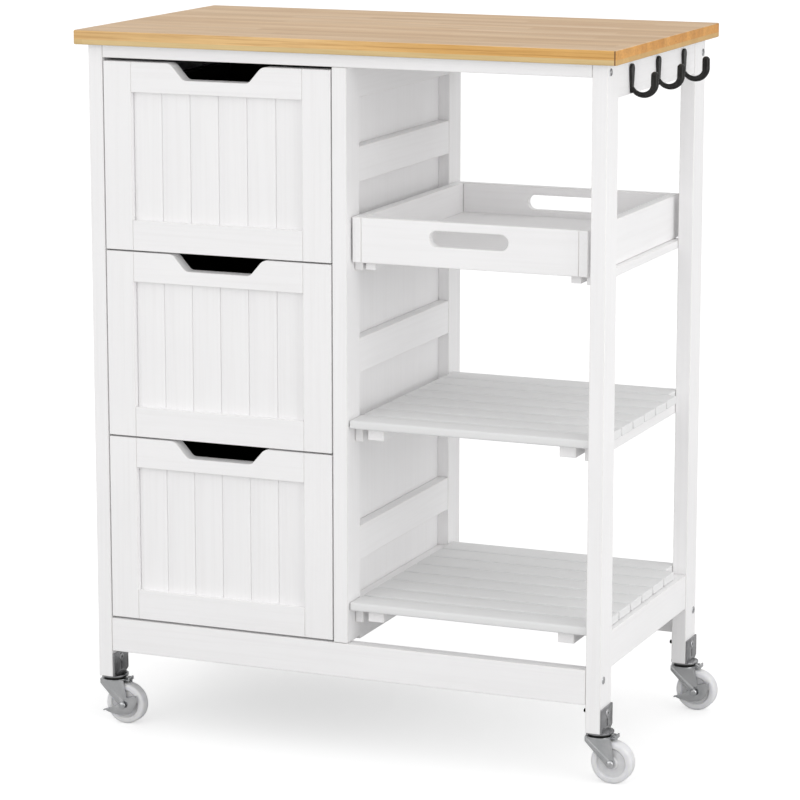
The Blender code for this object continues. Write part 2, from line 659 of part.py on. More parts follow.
def make_fork(name, x, y, axle, braked, parent):
    """The swivelling half: lower race, two legs, a front web and the axle."""
    top = CASTER_HEIGHT - RACE_DEPTH - 2 * GAP
    inner = WHEEL_WIDTH / 2 + WHEEL_CLEARANCE
    disc = bmesh.new()
    add_cylinder(disc, at(x, y, top - PLATE_THICK / 2), UPRIGHT, LOWER_RACE_RADIUS, PLATE_THICK, 32)
    fork = add_object(name, disc, at(x, y, top), "zinc", parent)
    shade_round(fork)
    for label, side in (("front_leg", -1), ("rear_leg", 1)):
        leg = bmesh.new()
        start = y + (inner if side > 0 else -inner - SHEET)
        add_prism(leg, leg_outline(x, start, axle, top - GAP), (0, SHEET, 0))
        boolean(fork, leg, "UNION", label)
    web = bmesh.new()
    half = inner + SHEET / 2
    add_prism(web, web_outline(x, y - half, axle, top - 2 * GAP), (0, 2 * half, 0))
    boolean(fork, web, "UNION", "web")
    tab = bmesh.new()
    tab_start, tab_end = TAB_SPAN
    side = [(tab_start, -SHEET - GAP), (tab_end, -SHEET - GAP), (tab_end, TAB_LIP),
            (tab_end - SHEET, TAB_LIP), (tab_end - SHEET, -GAP), (tab_start, -GAP)]
    add_prism(tab, [at(x + out, y - TAB_WIDTH / 2, top + up) for out, up in side], (0, TAB_WIDTH, 0))
    boolean(fork, tab, "UNION", "tab")
    hole = bmesh.new()
    add_cylinder(hole, at(x, y, top - PLATE_THICK / 2), UPRIGHT, KINGPIN_RADIUS + GAP, CUT, 16)
    boolean(fork, hole, "DIFFERENCE", "kingpin_hole")
    pin = bmesh.new()
    front_end = inner + SHEET + (AXLE_END_BRAKED if braked else AXLE_END)
    rear_end = inner + SHEET + AXLE_END
    middle = axle + Vector((0, (rear_end - front_end) / 2, 0))
    add_cylinder(pin, middle, (0, 1, 0), AXLE_RADIUS, front_end + rear_end, 16)
    boolean(fork, pin, "UNION", "axle")


def wheel_profile():
    """Half of the wheel's section, from the bore outward: (radius, half width)."""
    half = WHEEL_WIDTH / 2
    proud, recessed = half + WHEEL_HUB_PROUD, half - WHEEL_RECESS
    hub, rim = WHEEL_RECESS_SPAN
    profile = [(AXLE_RADIUS + BORE_PLAY, proud), (hub - WHEEL_STEP, proud), (hub, recessed),
               (rim, recessed), (rim + WHEEL_RECESS, half)]
    tread = WHEEL_RADIUS - WHEEL_ROUND
    for step in range(4):
        angle = math.radians(30 * step)
        profile.append((tread + WHEEL_ROUND * math.sin(angle),
                        half - WHEEL_ROUND + WHEEL_ROUND * math.cos(angle)))
    return profile


def make_wheel(name, axle, parent):
    side = wheel_profile()
    section = side + [(radius, -width) for radius, width in reversed(side)]
    segments = 32
    bm = bmesh.new()
    rings = []
    for step in range(segments):
        angle = 2 * math.pi * step / segments
        spoke = Vector((math.cos(angle), 0, math.sin(angle)))
        places = [axle + radius * spoke + Vector((0, width, 0)) for radius, width in section]
        rings.append([bm.verts.new(place) for place in places])
    count = len(section)
    for step in range(segments):
        ring, following = rings[step], rings[(step + 1) % segments]
        for index in range(count):
            after = (index + 1) % count
            bm.faces.new((ring[index], ring[after], following[after], following[index]))
    wheel = add_object(name, bm, axle, "frosted_plastic", parent)
    shade_round(wheel)


def brake_point(axle, y, corner):
    x, z = BRAKE_SHAPE[corner]
    return Vector((axle.x + x / 1000, y, axle.z + z / 1000))


def make_brake(name, axle, y_outer, parent):
    """A rocking foot brake: a flat crescent, with a tread bent out along each tip."""
    bm = bmesh.new()
    corners = range(len(BRAKE_SHAPE))
    outline = [brake_point(axle, y_outer - BRAKE_THICK, corner) for corner in corners]
    add_prism(bm, outline, (0, BRAKE_THICK, 0))
    brake = add_object(name, bm, axle, "zinc", parent)
    for number, (first, last, depth) in enumerate(BRAKE_TREADS):
        tread = bmesh.new()
        start, end = (brake_point(axle, y_outer - BRAKE_THICK / 3, corner) for corner in (first, last))
        slope = (end - start).normalized()
        inward = TREAD_THICK * Vector((-slope.z, 0, slope.x))
        edge = GAP * Vector((slope.z, 0, -slope.x))
        side = [start + edge, end + edge, end + inward, start + inward]
        add_prism(tread, side, (0, -depth, 0))
        boolean(brake, tread, "UNION", f"tread_{number + 1}")
    hole = bmesh.new()
    middle = Vector((axle.x, y_outer, axle.z))
    add_cylinder(hole, middle, (0, 1, 0), AXLE_RADIUS + BORE_PLAY, 2 * CUT, 16)
    boolean(brake, hole, "DIFFERENCE", "axle_hole")


def make_casters():
    braked = ("front_left", "rear_right")
    for end, y in (("front", -POST_Y), ("rear", POST_Y)):
        for side, x in (("left", -POST_X), ("right", POST_X)):
            label = f"{end}_{side}"
            race = x + RACE_SHIFT
            axle = at(race + CASTER_TRAIL, y, WHEEL_RADIUS)
            make_bracket(f"{label}_caster_bracket", x, race, y)
            swivel = joint_empty(f"{label}_swivel", at(race, y, CASTER_HEIGHT))
            make_fork(f"{label}_caster_fork", race, y, axle, label in braked, swivel)
            make_wheel(f"{label}_wheel", axle, swivel)
            if label in braked:
                y_outer = y - WHEEL_WIDTH / 2 - WHEEL_CLEARANCE - SHEET - GAP
                make_brake(f"{label}_brake_lever", axle, y_outer, swivel)


clear_scene()
make_worktop()
make_posts()
make_long_rails()
make_right_rails()
make_side("left", -1)
make_side("partition", 1)
make_back_panel()
make_drawers()
make_supports()
make_shelf("middle_shelf", SHELF_TOPS[0])
make_shelf("bottom_shelf", SHELF_TOPS[1])
make_tray()
make_hooks()
make_casters()
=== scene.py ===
# %% [markdown]
# # A rolling utility cart, in its finishes
# The cart's measured model is loaded first as a fixed frame. Each board, hook and
# caster is then made again on top of it, with the softened edges, joint lines, bolts
# and materials that a maker would give it. Nothing here changes a size: every piece
# takes its place from the part of the frame that it stands for.

# %% Load the frame
import json
from math import atan2, cos, pi, radians, sin

import bmesh
import bpy
from mathutils import Matrix, Vector

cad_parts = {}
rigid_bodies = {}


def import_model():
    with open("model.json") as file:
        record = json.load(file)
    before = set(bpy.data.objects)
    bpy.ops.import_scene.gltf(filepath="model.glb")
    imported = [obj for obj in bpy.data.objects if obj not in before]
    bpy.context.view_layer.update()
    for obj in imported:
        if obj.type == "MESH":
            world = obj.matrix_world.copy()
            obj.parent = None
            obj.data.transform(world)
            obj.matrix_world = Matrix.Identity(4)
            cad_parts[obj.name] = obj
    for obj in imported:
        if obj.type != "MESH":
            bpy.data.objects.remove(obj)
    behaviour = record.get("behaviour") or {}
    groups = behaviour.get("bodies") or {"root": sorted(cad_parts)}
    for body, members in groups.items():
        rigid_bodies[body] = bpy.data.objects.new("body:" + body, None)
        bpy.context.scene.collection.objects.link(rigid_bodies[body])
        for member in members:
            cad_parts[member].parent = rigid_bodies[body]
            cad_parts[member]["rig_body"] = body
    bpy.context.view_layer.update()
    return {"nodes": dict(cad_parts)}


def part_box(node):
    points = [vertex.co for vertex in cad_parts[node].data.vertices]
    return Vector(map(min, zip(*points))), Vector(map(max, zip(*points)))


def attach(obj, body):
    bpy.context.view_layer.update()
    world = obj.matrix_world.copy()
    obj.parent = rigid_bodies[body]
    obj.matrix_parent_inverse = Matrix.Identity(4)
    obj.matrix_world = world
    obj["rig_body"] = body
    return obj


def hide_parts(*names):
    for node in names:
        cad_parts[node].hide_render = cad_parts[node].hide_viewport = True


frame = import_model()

# %% [markdown]
# ## The camera and the light
# The cart is shown from the front and a little to the right, from just above its
# worktop, with a long lens that keeps its uprights nearly parallel. The light is a
# white studio: an even white surround does most of the work, because white paint
# shows its shape by how little light its corners get, and two large soft lamps, on
# the right and at the front left, add to it. A bright surround alone would make zinc
# and enamel look like paper, so mirror-like rays see a banded one, light above and
# below and dark at eye level, as if grey cards stood round the set.

# %% Camera
CAMERA_PLACE = (1.51571, -3.68894, 1.19825)
LOOK_DOWN, LOOK_LEFT = radians(11.39), radians(22.48)
LENS = 151.56

camera = bpy.data.objects.new("camera", bpy.data.cameras.new("camera"))
bpy.context.scene.collection.objects.link(camera)
camera.location = CAMERA_PLACE
camera.rotation_euler = (pi / 2 - LOOK_DOWN, 0, LOOK_LEFT)
camera.data.lens = LENS
camera.data.sensor_width = 36
bpy.context.scene.camera = camera
bpy.context.scene.view_settings.view_transform = "Standard"
print("camera at", [round(value, 3) for value in camera.location])


# %% [markdown]
# Materials and geometry trees are both made of nodes, so one helper adds a node to
# either. An input that is given another node's socket is linked to it, and any other
# value is set on the socket itself. Two more helpers stand on it, for colour ramps
# and for sums.

# %% Helpers for nodes
def add_node(tree, kind, inputs=None, **settings):
    node = tree.nodes.new(kind)
    for name, value in settings.items():
        setattr(node, name, value)
    for key, value in (inputs or {}).items():
        if isinstance(value, bpy.types.NodeSocket):
            tree.links.new(value, node.inputs[key])
        else:
            node.inputs[key].default_value = value
    return node


def ramp(tree, factor, stops):
    """A colour ramp with stops of (position, colour)."""
    node = add_node(tree, "ShaderNodeValToRGB", {"Fac": factor})
    points = node.color_ramp.elements
    for point, (position, colour) in ((points[0], stops[0]), (points[1], stops[-1])):
        point.position = position
        point.color = (*colour, 1)
    for position, colour in stops[1:-1]:
        points.new(position).color = (*colour, 1)
    return node.outputs["Color"]


def maths(tree, operation, first, second=0.0, third=0.0):
    return add_node(tree, "ShaderNodeMath", {0: first, 1: second, 2: third}, operation=operation).outputs[0]


# %% Surround, lamps and floor
SURROUND, BACKDROP = 0.90, 1.05     # the surround's brightness as a light, and as it is seen
CARDS = [(0.0, 0.9), (0.40, 0.85), (0.47, 0.10), (0.56, 0.32), (0.64, 0.55), (0.72, 1.0), (1.0, 1.0)]
CART_MIDDLE = (0, 0, 0.45)
FLOOR_SIDE, FLOOR_GLOW = 30, 0.55


def grey(value):
    return (value, value, value)


def light_studio():
    world = bpy.data.worlds.new("studio")
    bpy.context.scene.world = world
    world.use_nodes = True
    tree = world.node_tree
    tree.nodes.clear()
    direction = add_node(tree, "ShaderNodeTexCoord").outputs["Generated"]
    height = add_node(tree, "ShaderNodeSeparateXYZ", {"Vector": direction}).outputs["Z"]
    share = add_node(tree, "ShaderNodeMapRange", {"Value": height, "From Min": -1.0, "From Max": 1.0})
    cards = ramp(tree, share.outputs["Result"], [(place, grey(value)) for place, value in CARDS])
    rays = add_node(tree, "ShaderNodeLightPath")
    mirrored = add_node(tree, "ShaderNodeBackground", {"Color": cards, "Strength": 1.0})
    even = add_node(tree, "ShaderNodeBackground", {"Color": (1, 1, 1, 1), "Strength": SURROUND})
    seen = add_node(tree, "ShaderNodeBackground", {"Color": (1, 1, 1, 1), "Strength": BACKDROP})
    lit = add_node(tree, "ShaderNodeMixShader", {
        "Fac": rays.outputs["Is Glossy Ray"], 1: even.outputs[0], 2: mirrored.outputs[0]})
    shown = add_node(tree, "ShaderNodeMixShader", {
        "Fac": rays.outputs["Is Camera Ray"], 1: lit.outputs[0], 2: seen.outputs[0]})
    add_node(tree, "ShaderNodeOutputWorld", {"Surface": shown.outputs[0]})


def add_lamp(name, place, target, side, power):
    lamp = bpy.data.lights.new(name, "AREA")
    lamp.shape = "SQUARE"
    lamp.size = side
    lamp.energy = power
    obj = bpy.data.objects.new(name, lamp)
    bpy.context.scene.collection.objects.link(obj)
    obj.location = place
    obj.rotation_euler = (Vector(target) - Vector(place)).to_track_quat("-Z", "Y").to_euler()


def make_floor():
    bm = bmesh.new()
    bmesh.ops.create_grid(bm, x_segments=1, y_segments=1, size=FLOOR_SIDE / 2)
    mesh = bpy.data.meshes.new("floor")
    bm.to_mesh(mesh)
    bm.free()
    floor = bpy.data.objects.new("floor", mesh)
    bpy.context.scene.collection.objects.link(floor)
    material = bpy.data.materials.new("white_floor")
    material.use_nodes = True
    tree = material.node_tree
    shader = tree.nodes["Principled BSDF"]
    mottle = add_node(tree, "ShaderNodeTexNoise", {"Scale": 3.0, "Detail": 2.0}).outputs["Fac"]
    colour = ramp(tree, mottle, [(0.3, grey(0.60)), (0.7, grey(0.62))])
    tree.links.new(colour, shader.inputs["Base Color"])
    rays = add_node(tree, "ShaderNodeLightPath")
    glow = maths(tree, "MULTIPLY", rays.outputs["Is Camera Ray"], FLOOR_GLOW)
    shader.inputs["Emission Color"].default_value = (1, 1, 1, 1)
    tree.links.new(glow, shader.inputs["Emission Strength"])
    shader.inputs["Roughness"].default_value = 0.9
    shader.inputs["Specular IOR Level"].default_value = 0.1
    mesh.materials.append(material)


light_studio()
add_lamp("soft_right", (2.2, -0.7, 0.8), CART_MIDDLE, 1.8, 14)
add_lamp("soft_front", (-0.9, -2.3, 1.1), CART_MIDDLE, 2.0, 9)
make_floor()

# %% [markdown]
# ## White satin paint
# The frame is sprayed wood: two coats of satin white over a primer. Up close three
# things show that it isn't plastic. The grain below telegraphs through as faint
# lengthwise ripples, the sprayed coat has a fine orange-peel texture, and on rounded
# edges the coat is thinner, a little warmer and glossier. One function makes the
# paint for boards that run lengthwise, crosswise or upright, and only the stretch of
# its noise changes, because grain always follows the board.

# %% The paint
AXES = {"lengthwise": 0, "crosswise": 1, "upright": 2}
THIN_PAINT = (0.84, 0.82, 0.79, 1)      # the coat's colour where it is worn thin on an edge


def new_finish(name):
    material = bpy.data.materials.new(name)
    material.use_nodes = True
    return material, material.node_tree, material.node_tree.nodes["Principled BSDF"]


def stretched(tree, along, long_scale, cross_scale):
    """Object coordinates, drawn out along the grain."""
    scale = [cross_scale] * 3
    scale[AXES[along]] = long_scale
    place = add_node(tree, "ShaderNodeTexCoord").outputs["Object"]
    return add_node(tree, "ShaderNodeMapping", {"Vector": place, "Scale": scale}).outputs["Vector"]


def noise(tree, vector, scale, detail=3.0, roughness=0.5):
    return add_node(tree, "ShaderNodeTexNoise", {
        "Vector": vector, "Scale": scale, "Detail": detail, "Roughness": roughness}).outputs["Fac"]


def bump(tree, height, strength, distance, below=None):
    inputs = {"Height": height, "Strength": strength, "Distance": distance}
    if below is not None:
        inputs["Normal"] = below
    return add_node(tree, "ShaderNodeBump", inputs).outputs["Normal"]


def mix_colour(tree, factor, first, second, blend="MIX"):
    node = add_node(tree, "ShaderNodeMix", data_type="RGBA", blend_type=blend)
    for socket, value in ((node.inputs["Factor"], factor), (node.inputs[6], first), (node.inputs[7], second)):
        if isinstance(value, bpy.types.NodeSocket):
            tree.links.new(value, socket)
        else:
            socket.default_value = value
    return node.outputs[2]


def to_range(tree, value, low, high, from_low=0.0, from_high=1.0):
    return add_node(tree, "ShaderNodeMapRange", {
        "Value": value, "From Min": from_low, "From Max": from_high,
        "To Min": low, "To Max": high}).outputs["Result"]


def white_paint(along):
    material, tree, shader = new_finish(f"white_paint_{along}")
    grain = noise(tree, stretched(tree, along, 6, 260), 1.0, 4.0, 0.6)
    plain = add_node(tree, "ShaderNodeTexCoord").outputs["Object"]
    cloud = noise(tree, plain, 7.0, 3.0)
    peel = noise(tree, plain, 900.0, 2.0)
    thin = add_node(tree, "ShaderNodeAttribute", attribute_name="edge").outputs["Fac"]
    coat = ramp(tree, cloud, [(0.3, (0.925, 0.918, 0.921)), (0.7, (0.945, 0.938, 0.941))])
    ripple = ramp(tree, grain, [(0.32, (0.975, 0.973, 0.972)), (0.55, (1, 1, 1))])
    coat = mix_colour(tree, 1.0, coat, ripple, "MULTIPLY")
    edge = maths(tree, "MULTIPLY", thin, 0.35)
    tree.links.new(mix_colour(tree, edge, coat, THIN_PAINT), shader.inputs["Base Color"])
    sheen = to_range(tree, cloud, 0.36, 0.48)
    worn = maths(tree, "MULTIPLY_ADD", thin, -0.08, sheen)
    tree.links.new(worn, shader.inputs["Roughness"])
    shader.inputs["Specular IOR Level"].default_value = 0.42
    lower = bump(tree, grain, 0.25, 0.0003)
    tree.links.new(bump(tree, peel, 0.10, 0.0001, lower), shader.inputs["Normal"])
    return material


PAINT = {along: white_paint(along) for along in AXES}
print("paints:", [material.name for material in PAINT.values()])


# %% [markdown]
# ## Boards with softened edges
# Every painted board is sanded before it is sprayed, so no edge is truly sharp. A
# bevel of under a millimetre catches a thread of light along each edge, and where
# two boards meet it leaves the fine vee that makes a joint visible. Each board is
# copied from the frame, its loose triangles are merged and cleared into flat faces,
# and the new faces along the edges are marked for the paint. A Bevel modifier would
# do the same shape, but the marks are easier to leave in mesh code.

# %% Copy and soften a board
EDGE_ROUND = 0.0009
SHARP, SHARPER = radians(30), radians(50)   # the least turn of an edge that is rounded
SAME_POINT, SAME_FACE = 0.00001, radians(1)


def mesh_of(node):
    """A clean, editable copy of a frame part's shape."""
    source = frame["nodes"][node].data
    bm = bmesh.new()
    points = [bm.verts.new(vertex.co) for vertex in source.vertices]
    for polygon in source.polygons:
        bm.faces.new([points[index] for index in polygon.vertices])
    bmesh.ops.remove_doubles(bm, verts=bm.verts, dist=SAME_POINT)
    bmesh.ops.dissolve_limit(bm, angle_limit=SAME_FACE, verts=bm.verts, edges=bm.edges)
    return bm


def soften(bm, width, segments=2, sharper_than=SHARP):
    """Round the sharp edges, and mark the new faces as edge."""
    edge = bm.faces.layers.float.get("edge") or bm.faces.layers.float.new("edge")
    sharp = [item for item in bm.edges if item.is_manifold and item.calc_face_angle() > sharper_than]
    made = bmesh.ops.bevel(
        bm, geom=sharp, offset=width, offset_type="OFFSET", segments=segments,
        profile=0.5, affect="EDGES", clamp_overlap=True)
    for face in made["faces"]:
        face[edge] = 1.0
        face.smooth = True


def add_mesh_object(name, bm, finishes):
    mesh = bpy.data.meshes.new(name)
    bm.to_mesh(mesh)
    bm.free()
    for finish in finishes:
        mesh.materials.append(finish)
    piece = bpy.data.objects.new(name, mesh)
    bpy.context.scene.collection.objects.link(piece)
    return piece


def fit(piece, body, replaced=()):
    """Let a finished piece ride on its body, in place of parts of the frame."""
    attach(piece, body)
    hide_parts(*replaced)
    return piece


def body_of(node):
    return frame["nodes"][node]["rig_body"]


def painted_board(node, along, width=EDGE_ROUND):
    bm = mesh_of(node)
    soften(bm, width)
    piece = add_mesh_object(f"{node}_board", bm, [PAINT[along]])
    return fit(piece, body_of(node), [node])


# %% The frame's boards
PANEL_EDGE = 0.0004


def board_run(node):
    """Which way a board's grain runs, from what the board is."""
    if node.endswith(("_post", "_panel")):
        return "upright"
    return "lengthwise" if node.startswith(("front_", "rear_")) else "crosswise"


boards = [node for node in frame["nodes"] if node.endswith(("_post", "_panel", "_rail"))]
boards += [node for node in frame["nodes"] if "_drawer_rail_" in node or "_support_" in node]
for node in boards:
    painted_board(node, board_run(node), PANEL_EDGE if node.endswith("_panel") else EDGE_ROUND)
print("boards:", len(boards))


# %% [markdown]
# ## Bars from a geometry tree
# The slats of the shelves and the planks of the drawer fronts are the same thing: a
# straight bar with rounded corners, laid side by side at a fixed pitch. One geometry
# tree makes them. A rectangle has its corners filleted and is swept along a line, the
# bar is copied on to a row of points, and the row is made real, so that what leaves
# the tree is a plain mesh. Its sizes are named inputs, set for each row.

# %% The tree that makes a row of bars
def new_tree(name, sockets):
    tree = bpy.data.node_groups.new(name, "GeometryNodeTree")
    for label, kind in sockets.items():
        tree.interface.new_socket(label, in_out="INPUT", socket_type=f"NodeSocket{kind}")
    tree.interface.new_socket("Geometry", in_out="OUTPUT", socket_type="NodeSocketGeometry")
    source = tree.nodes.new("NodeGroupInput").outputs
    return tree, source


def end_tree(tree, geometry, material):
    """Make instances real, give them their finish and send them out."""
    real = add_node(tree, "GeometryNodeRealizeInstances", {"Geometry": geometry})
    dressed = add_node(tree, "GeometryNodeSetMaterial", {"Geometry": real.outputs[0], "Material": material})
    add_node(tree, "NodeGroupOutput", {"Geometry": dressed.outputs[0]})


def combine(tree, x=0.0, y=0.0, z=0.0):
    return add_node(tree, "ShaderNodeCombineXYZ", {"X": x, "Y": y, "Z": z}).outputs["Vector"]


def bars_tree():
    tree, sizes = new_tree("row_of_bars", {
        "Length": "Float", "Width": "Float", "Thickness": "Float", "Rounding": "Float",
        "Count": "Int", "Pitch": "Float", "Material": "Material"})
    line = add_node(tree, "GeometryNodeCurvePrimitiveLine", {"End": combine(tree, x=sizes["Length"])})
    section = add_node(tree, "GeometryNodeCurvePrimitiveQuadrilateral", {
        "Width": sizes["Width"], "Height": sizes["Thickness"]})
    rounded = add_node(tree, "GeometryNodeFilletCurve", {
        "Curve": section.outputs[0], "Count": 3, "Radius": sizes["Rounding"]}, mode="POLY")
    bar = add_node(tree, "GeometryNodeCurveToMesh", {
        "Curve": line.outputs[0], "Profile Curve": rounded.outputs[0], "Fill Caps": True})
    row = add_node(tree, "GeometryNodeMeshLine", {
        "Count": sizes["Count"], "Offset": combine(tree, y=sizes["Pitch"])})
    bars = add_node(tree, "GeometryNodeInstanceOnPoints", {
        "Points": row.outputs[0], "Instance": bar.outputs[0]})
    end_tree(tree, bars.outputs[0], sizes["Material"])
    return tree


def run_tree(name, tree, values, carried=None):
    """The tree's result as a plain mesh, in a new object."""
    piece = bpy.data.objects.new(name, carried or bpy.data.meshes.new(f"{name}_start"))
    bpy.context.scene.collection.objects.link(piece)
    modifier = piece.modifiers.new("maker", "NODES")
    modifier.node_group = tree
    for item in tree.interface.items_tree:
        if item.item_type == "SOCKET" and item.in_out == "INPUT" and item.name in values:
            modifier[item.identifier] = values[item.name]
    evaluated = piece.evaluated_get(bpy.context.evaluated_depsgraph_get())
    made = bpy.data.meshes.new_from_object(evaluated)
    piece.modifiers.clear()
    piece.data = made
    made.name = name
    return piece


def reshape(piece, place=Matrix.Identity(4), round_ends=0.0):
    """Move a made row into place inside its mesh, and soften what is still sharp."""
    bm = bmesh.new()
    bm.from_mesh(piece.data)
    bmesh.ops.transform(bm, matrix=place, verts=bm.verts)
    bmesh.ops.recalc_face_normals(bm, faces=bm.faces)
    if round_ends:
        soften(bm, round_ends, sharper_than=SHARPER)
    bm.to_mesh(piece.data)
    bm.free()
    return piece


def join(name, pieces):
    """Join plain pieces of the same finish into one."""
    bm = bmesh.new()
    for piece in pieces:
        bm.from_mesh(piece.data)
    material = pieces[0].data.materials[0]
    for piece in pieces:
        bpy.data.objects.remove(piece)
    return add_mesh_object(name, bm, [material])


bars = bars_tree()
print("tree:", bars.name, "with", len(bars.nodes), "nodes")

# %% [markdown]
# ## Slatted shelves
# Each shelf is eight slats on two cleats. The front and back slats are cut short so
# that they fit between the posts, and the six others run past them. The slats' edges
# are rounded over much more than the frame's boards, because hands and pans slide
# over them.

# %% The shelves
SLAT_WIDTH, SLAT_PITCH, SLAT_THICK = 0.0375, 0.0416, 0.010
SLAT_ROUND, END_ROUND = 0.0022, 0.0010
BAY_GAP = 0.0006                            # between a short slat and the right post
CLEAT_WIDTH, CLEAT_LENGTH = 0.020, 0.314
CLEAT_FRONT = 0.0115                        # from the shelf's front edge
CLEAT_LEFT, CLEAT_RIGHT = 0.0196, 0.040     # from the posts at the bay's two sides


def make_shelf(node):
    low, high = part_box(node)
    bay_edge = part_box("front_right_post")[0].x
    half_width, half_thick = SLAT_WIDTH / 2, SLAT_THICK / 2
    rows = []
    for label, first, count, right in (("short", 0, 2, bay_edge - BAY_GAP), ("long", 1, 6, high.x)):
        values = {"Length": right - low.x, "Width": SLAT_WIDTH, "Thickness": SLAT_THICK,
                  "Rounding": SLAT_ROUND, "Count": count, "Material": PAINT["lengthwise"],
                  "Pitch": SLAT_PITCH * (7 if label == "short" else 1)}
        row = run_tree(f"{node}_{label}", bars, values)
        place = Vector((low.x, low.y + half_width + first * SLAT_PITCH, high.z - half_thick))
        rows.append(reshape(row, Matrix.Translation(place), END_ROUND))
    slats = fit(join(f"{node}_slats", rows), "frame", [node])
    slab = bmesh.new()
    cleat = Vector((CLEAT_WIDTH, CLEAT_LENGTH, high.z - SLAT_THICK - low.z))
    for x in (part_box("front_middle_post")[1].x + CLEAT_LEFT, bay_edge - CLEAT_RIGHT):
        corner = Vector((x, low.y + CLEAT_FRONT, low.z))
        add_block(slab, corner, corner + cleat)
    soften(slab, EDGE_ROUND)
    fit(add_mesh_object(f"{node}_cleats", slab, [PAINT["crosswise"]]), "frame")
    print(node, [round(side, 4) for side in slats.dimensions])


def add_block(bm, low, high):
    """A box between two corners, added to a mesh."""
    middle, size = (low + high) / 2, high - low
    matrix = Matrix.Translation(middle) @ Matrix.Diagonal((*size, 1))
    return bmesh.ops.create_cube(bm, size=1, matrix=matrix)["verts"]


for shelf in ("middle_shelf", "bottom_shelf"):
    make_shelf(shelf)

# %% [markdown]
# ## Drawer fronts
# A drawer front is a small framed door: two stiles run its full height, two rails
# fit between them, and a field of six planks sits behind. The top rail has the
# finger notch that opens the drawer, a trough whose sides run in and out on small
# arcs. The planks come from the same tree as the slats, turned on end, and their
# rounded corners make the vee grooves between them.

# %% Outline of the finger notch
STILE, FRONT_THICK, RECESS = 0.0355, 0.018, 0.007
NOTCH_TOP, NOTCH_BOTTOM, NOTCH_DEPTH = 0.117, 0.083, 0.0195
SHOULDER_ROUND, FOOT_ROUND = 0.012, 0.009
JOINT_ROUND, JOINT = 0.0005, 0.00015
PLANKS, PLANK_GAP, PLANK_ROUND = 6, 0.0001, 0.0016
TONGUE = 0.004              # of a plank, held in the rails
BEHIND_PLANKS = 0.004


def arc(centre, radius, start, end, steps=8):
    """Points (x, z) along an arc, from one angle to another."""
    turns = [start + (end - start) * step / steps for step in range(steps + 1)]
    return [(centre[0] + radius * cos(turn), centre[1] + radius * sin(turn)) for turn in turns]


def notch_outline():
    """The notch from its right shoulder to its left one; z is 0 at the rail's top."""
    slope = atan2(NOTCH_DEPTH, (NOTCH_TOP - NOTCH_BOTTOM) / 2)
    setback = sin(slope / 2) / cos(slope / 2)
    shoulder = (NOTCH_TOP / 2 + SHOULDER_ROUND * setback, -SHOULDER_ROUND)
    foot = (NOTCH_BOTTOM / 2 - FOOT_ROUND * setback, FOOT_ROUND - NOTCH_DEPTH)
    right = arc(shoulder, SHOULDER_ROUND, pi / 2, pi / 2 + slope)
    right += arc(foot, FOOT_ROUND, slope - pi / 2, -pi / 2)
    return right + [(-x, z) for x, z in reversed(right)]


# %% Stiles, rails and planks
def add_slab(bm, outline, thickness):
    """A flat piece: an outline of points in space, drawn out by a vector."""
    face = bm.faces.new([bm.verts.new(point) for point in outline])
    swept = bmesh.ops.extrude_face_region(bm, geom=[face])["geom"]
    moved = [item for item in swept if isinstance(item, bmesh.types.BMVert)]
    bmesh.ops.translate(bm, vec=thickness, verts=moved)
    bmesh.ops.recalc_face_normals(bm, faces=bm.faces)


def make_drawer_front(index):
    node, body = f"drawer_front_{index}", f"drawer_{index}"
    low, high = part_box(node)
    back = low.y + FRONT_THICK
    inner_low, inner_high = low.x + STILE, high.x - STILE
    stiles = bmesh.new()
    add_block(stiles, low, Vector((inner_low, back, high.z)))
    add_block(stiles, Vector((inner_high, low.y, low.z)), Vector((high.x, back, high.z)))
    soften(stiles, JOINT_ROUND)
    frame_piece = add_mesh_object(f"drawer_{index}_stiles", stiles, [PAINT["upright"]])
    fit(frame_piece, body, [node])

    rails = bmesh.new()
    left, right, middle = inner_low + JOINT, inner_high - JOINT, (low.x + high.x) / 2
    add_block(rails, Vector((left, low.y, low.z)), Vector((right, back, low.z + STILE)))
    outline = [(left, high.z), (left, high.z - STILE), (right, high.z - STILE), (right, high.z)]
    outline += [(middle + x, high.z + z) for x, z in notch_outline()]
    add_slab(rails, [(x, low.y, z) for x, z in outline], (0, back - low.y, 0))
    soften(rails, JOINT_ROUND)
    rails_piece = add_mesh_object(f"drawer_{index}_rails", rails, [PAINT["lengthwise"]])
    fit(rails_piece, body)

    pitch = (inner_high - inner_low) / PLANKS
    thick = FRONT_THICK - RECESS - BEHIND_PLANKS
    planks = run_tree(f"drawer_{index}_planks", bars, {
        "Length": high.z - low.z - 2 * (STILE - TONGUE), "Width": pitch - PLANK_GAP, "Thickness": thick,
        "Rounding": PLANK_ROUND, "Count": PLANKS, "Pitch": pitch, "Material": PAINT["upright"]})
    turn = Matrix(((0, 1, 0, 0), (0, 0, 1, 0), (1, 0, 0, 0), (0, 0, 0, 1)))
    place = Vector((inner_low + pitch / 2, low.y + RECESS + thick / 2, low.z + STILE - TONGUE))
    fit(reshape(planks, Matrix.Translation(place) @ turn), body)


for index in (1, 2, 3):
    make_drawer_front(index)
print("drawer fronts: 3, of", PLANKS, "planks each")
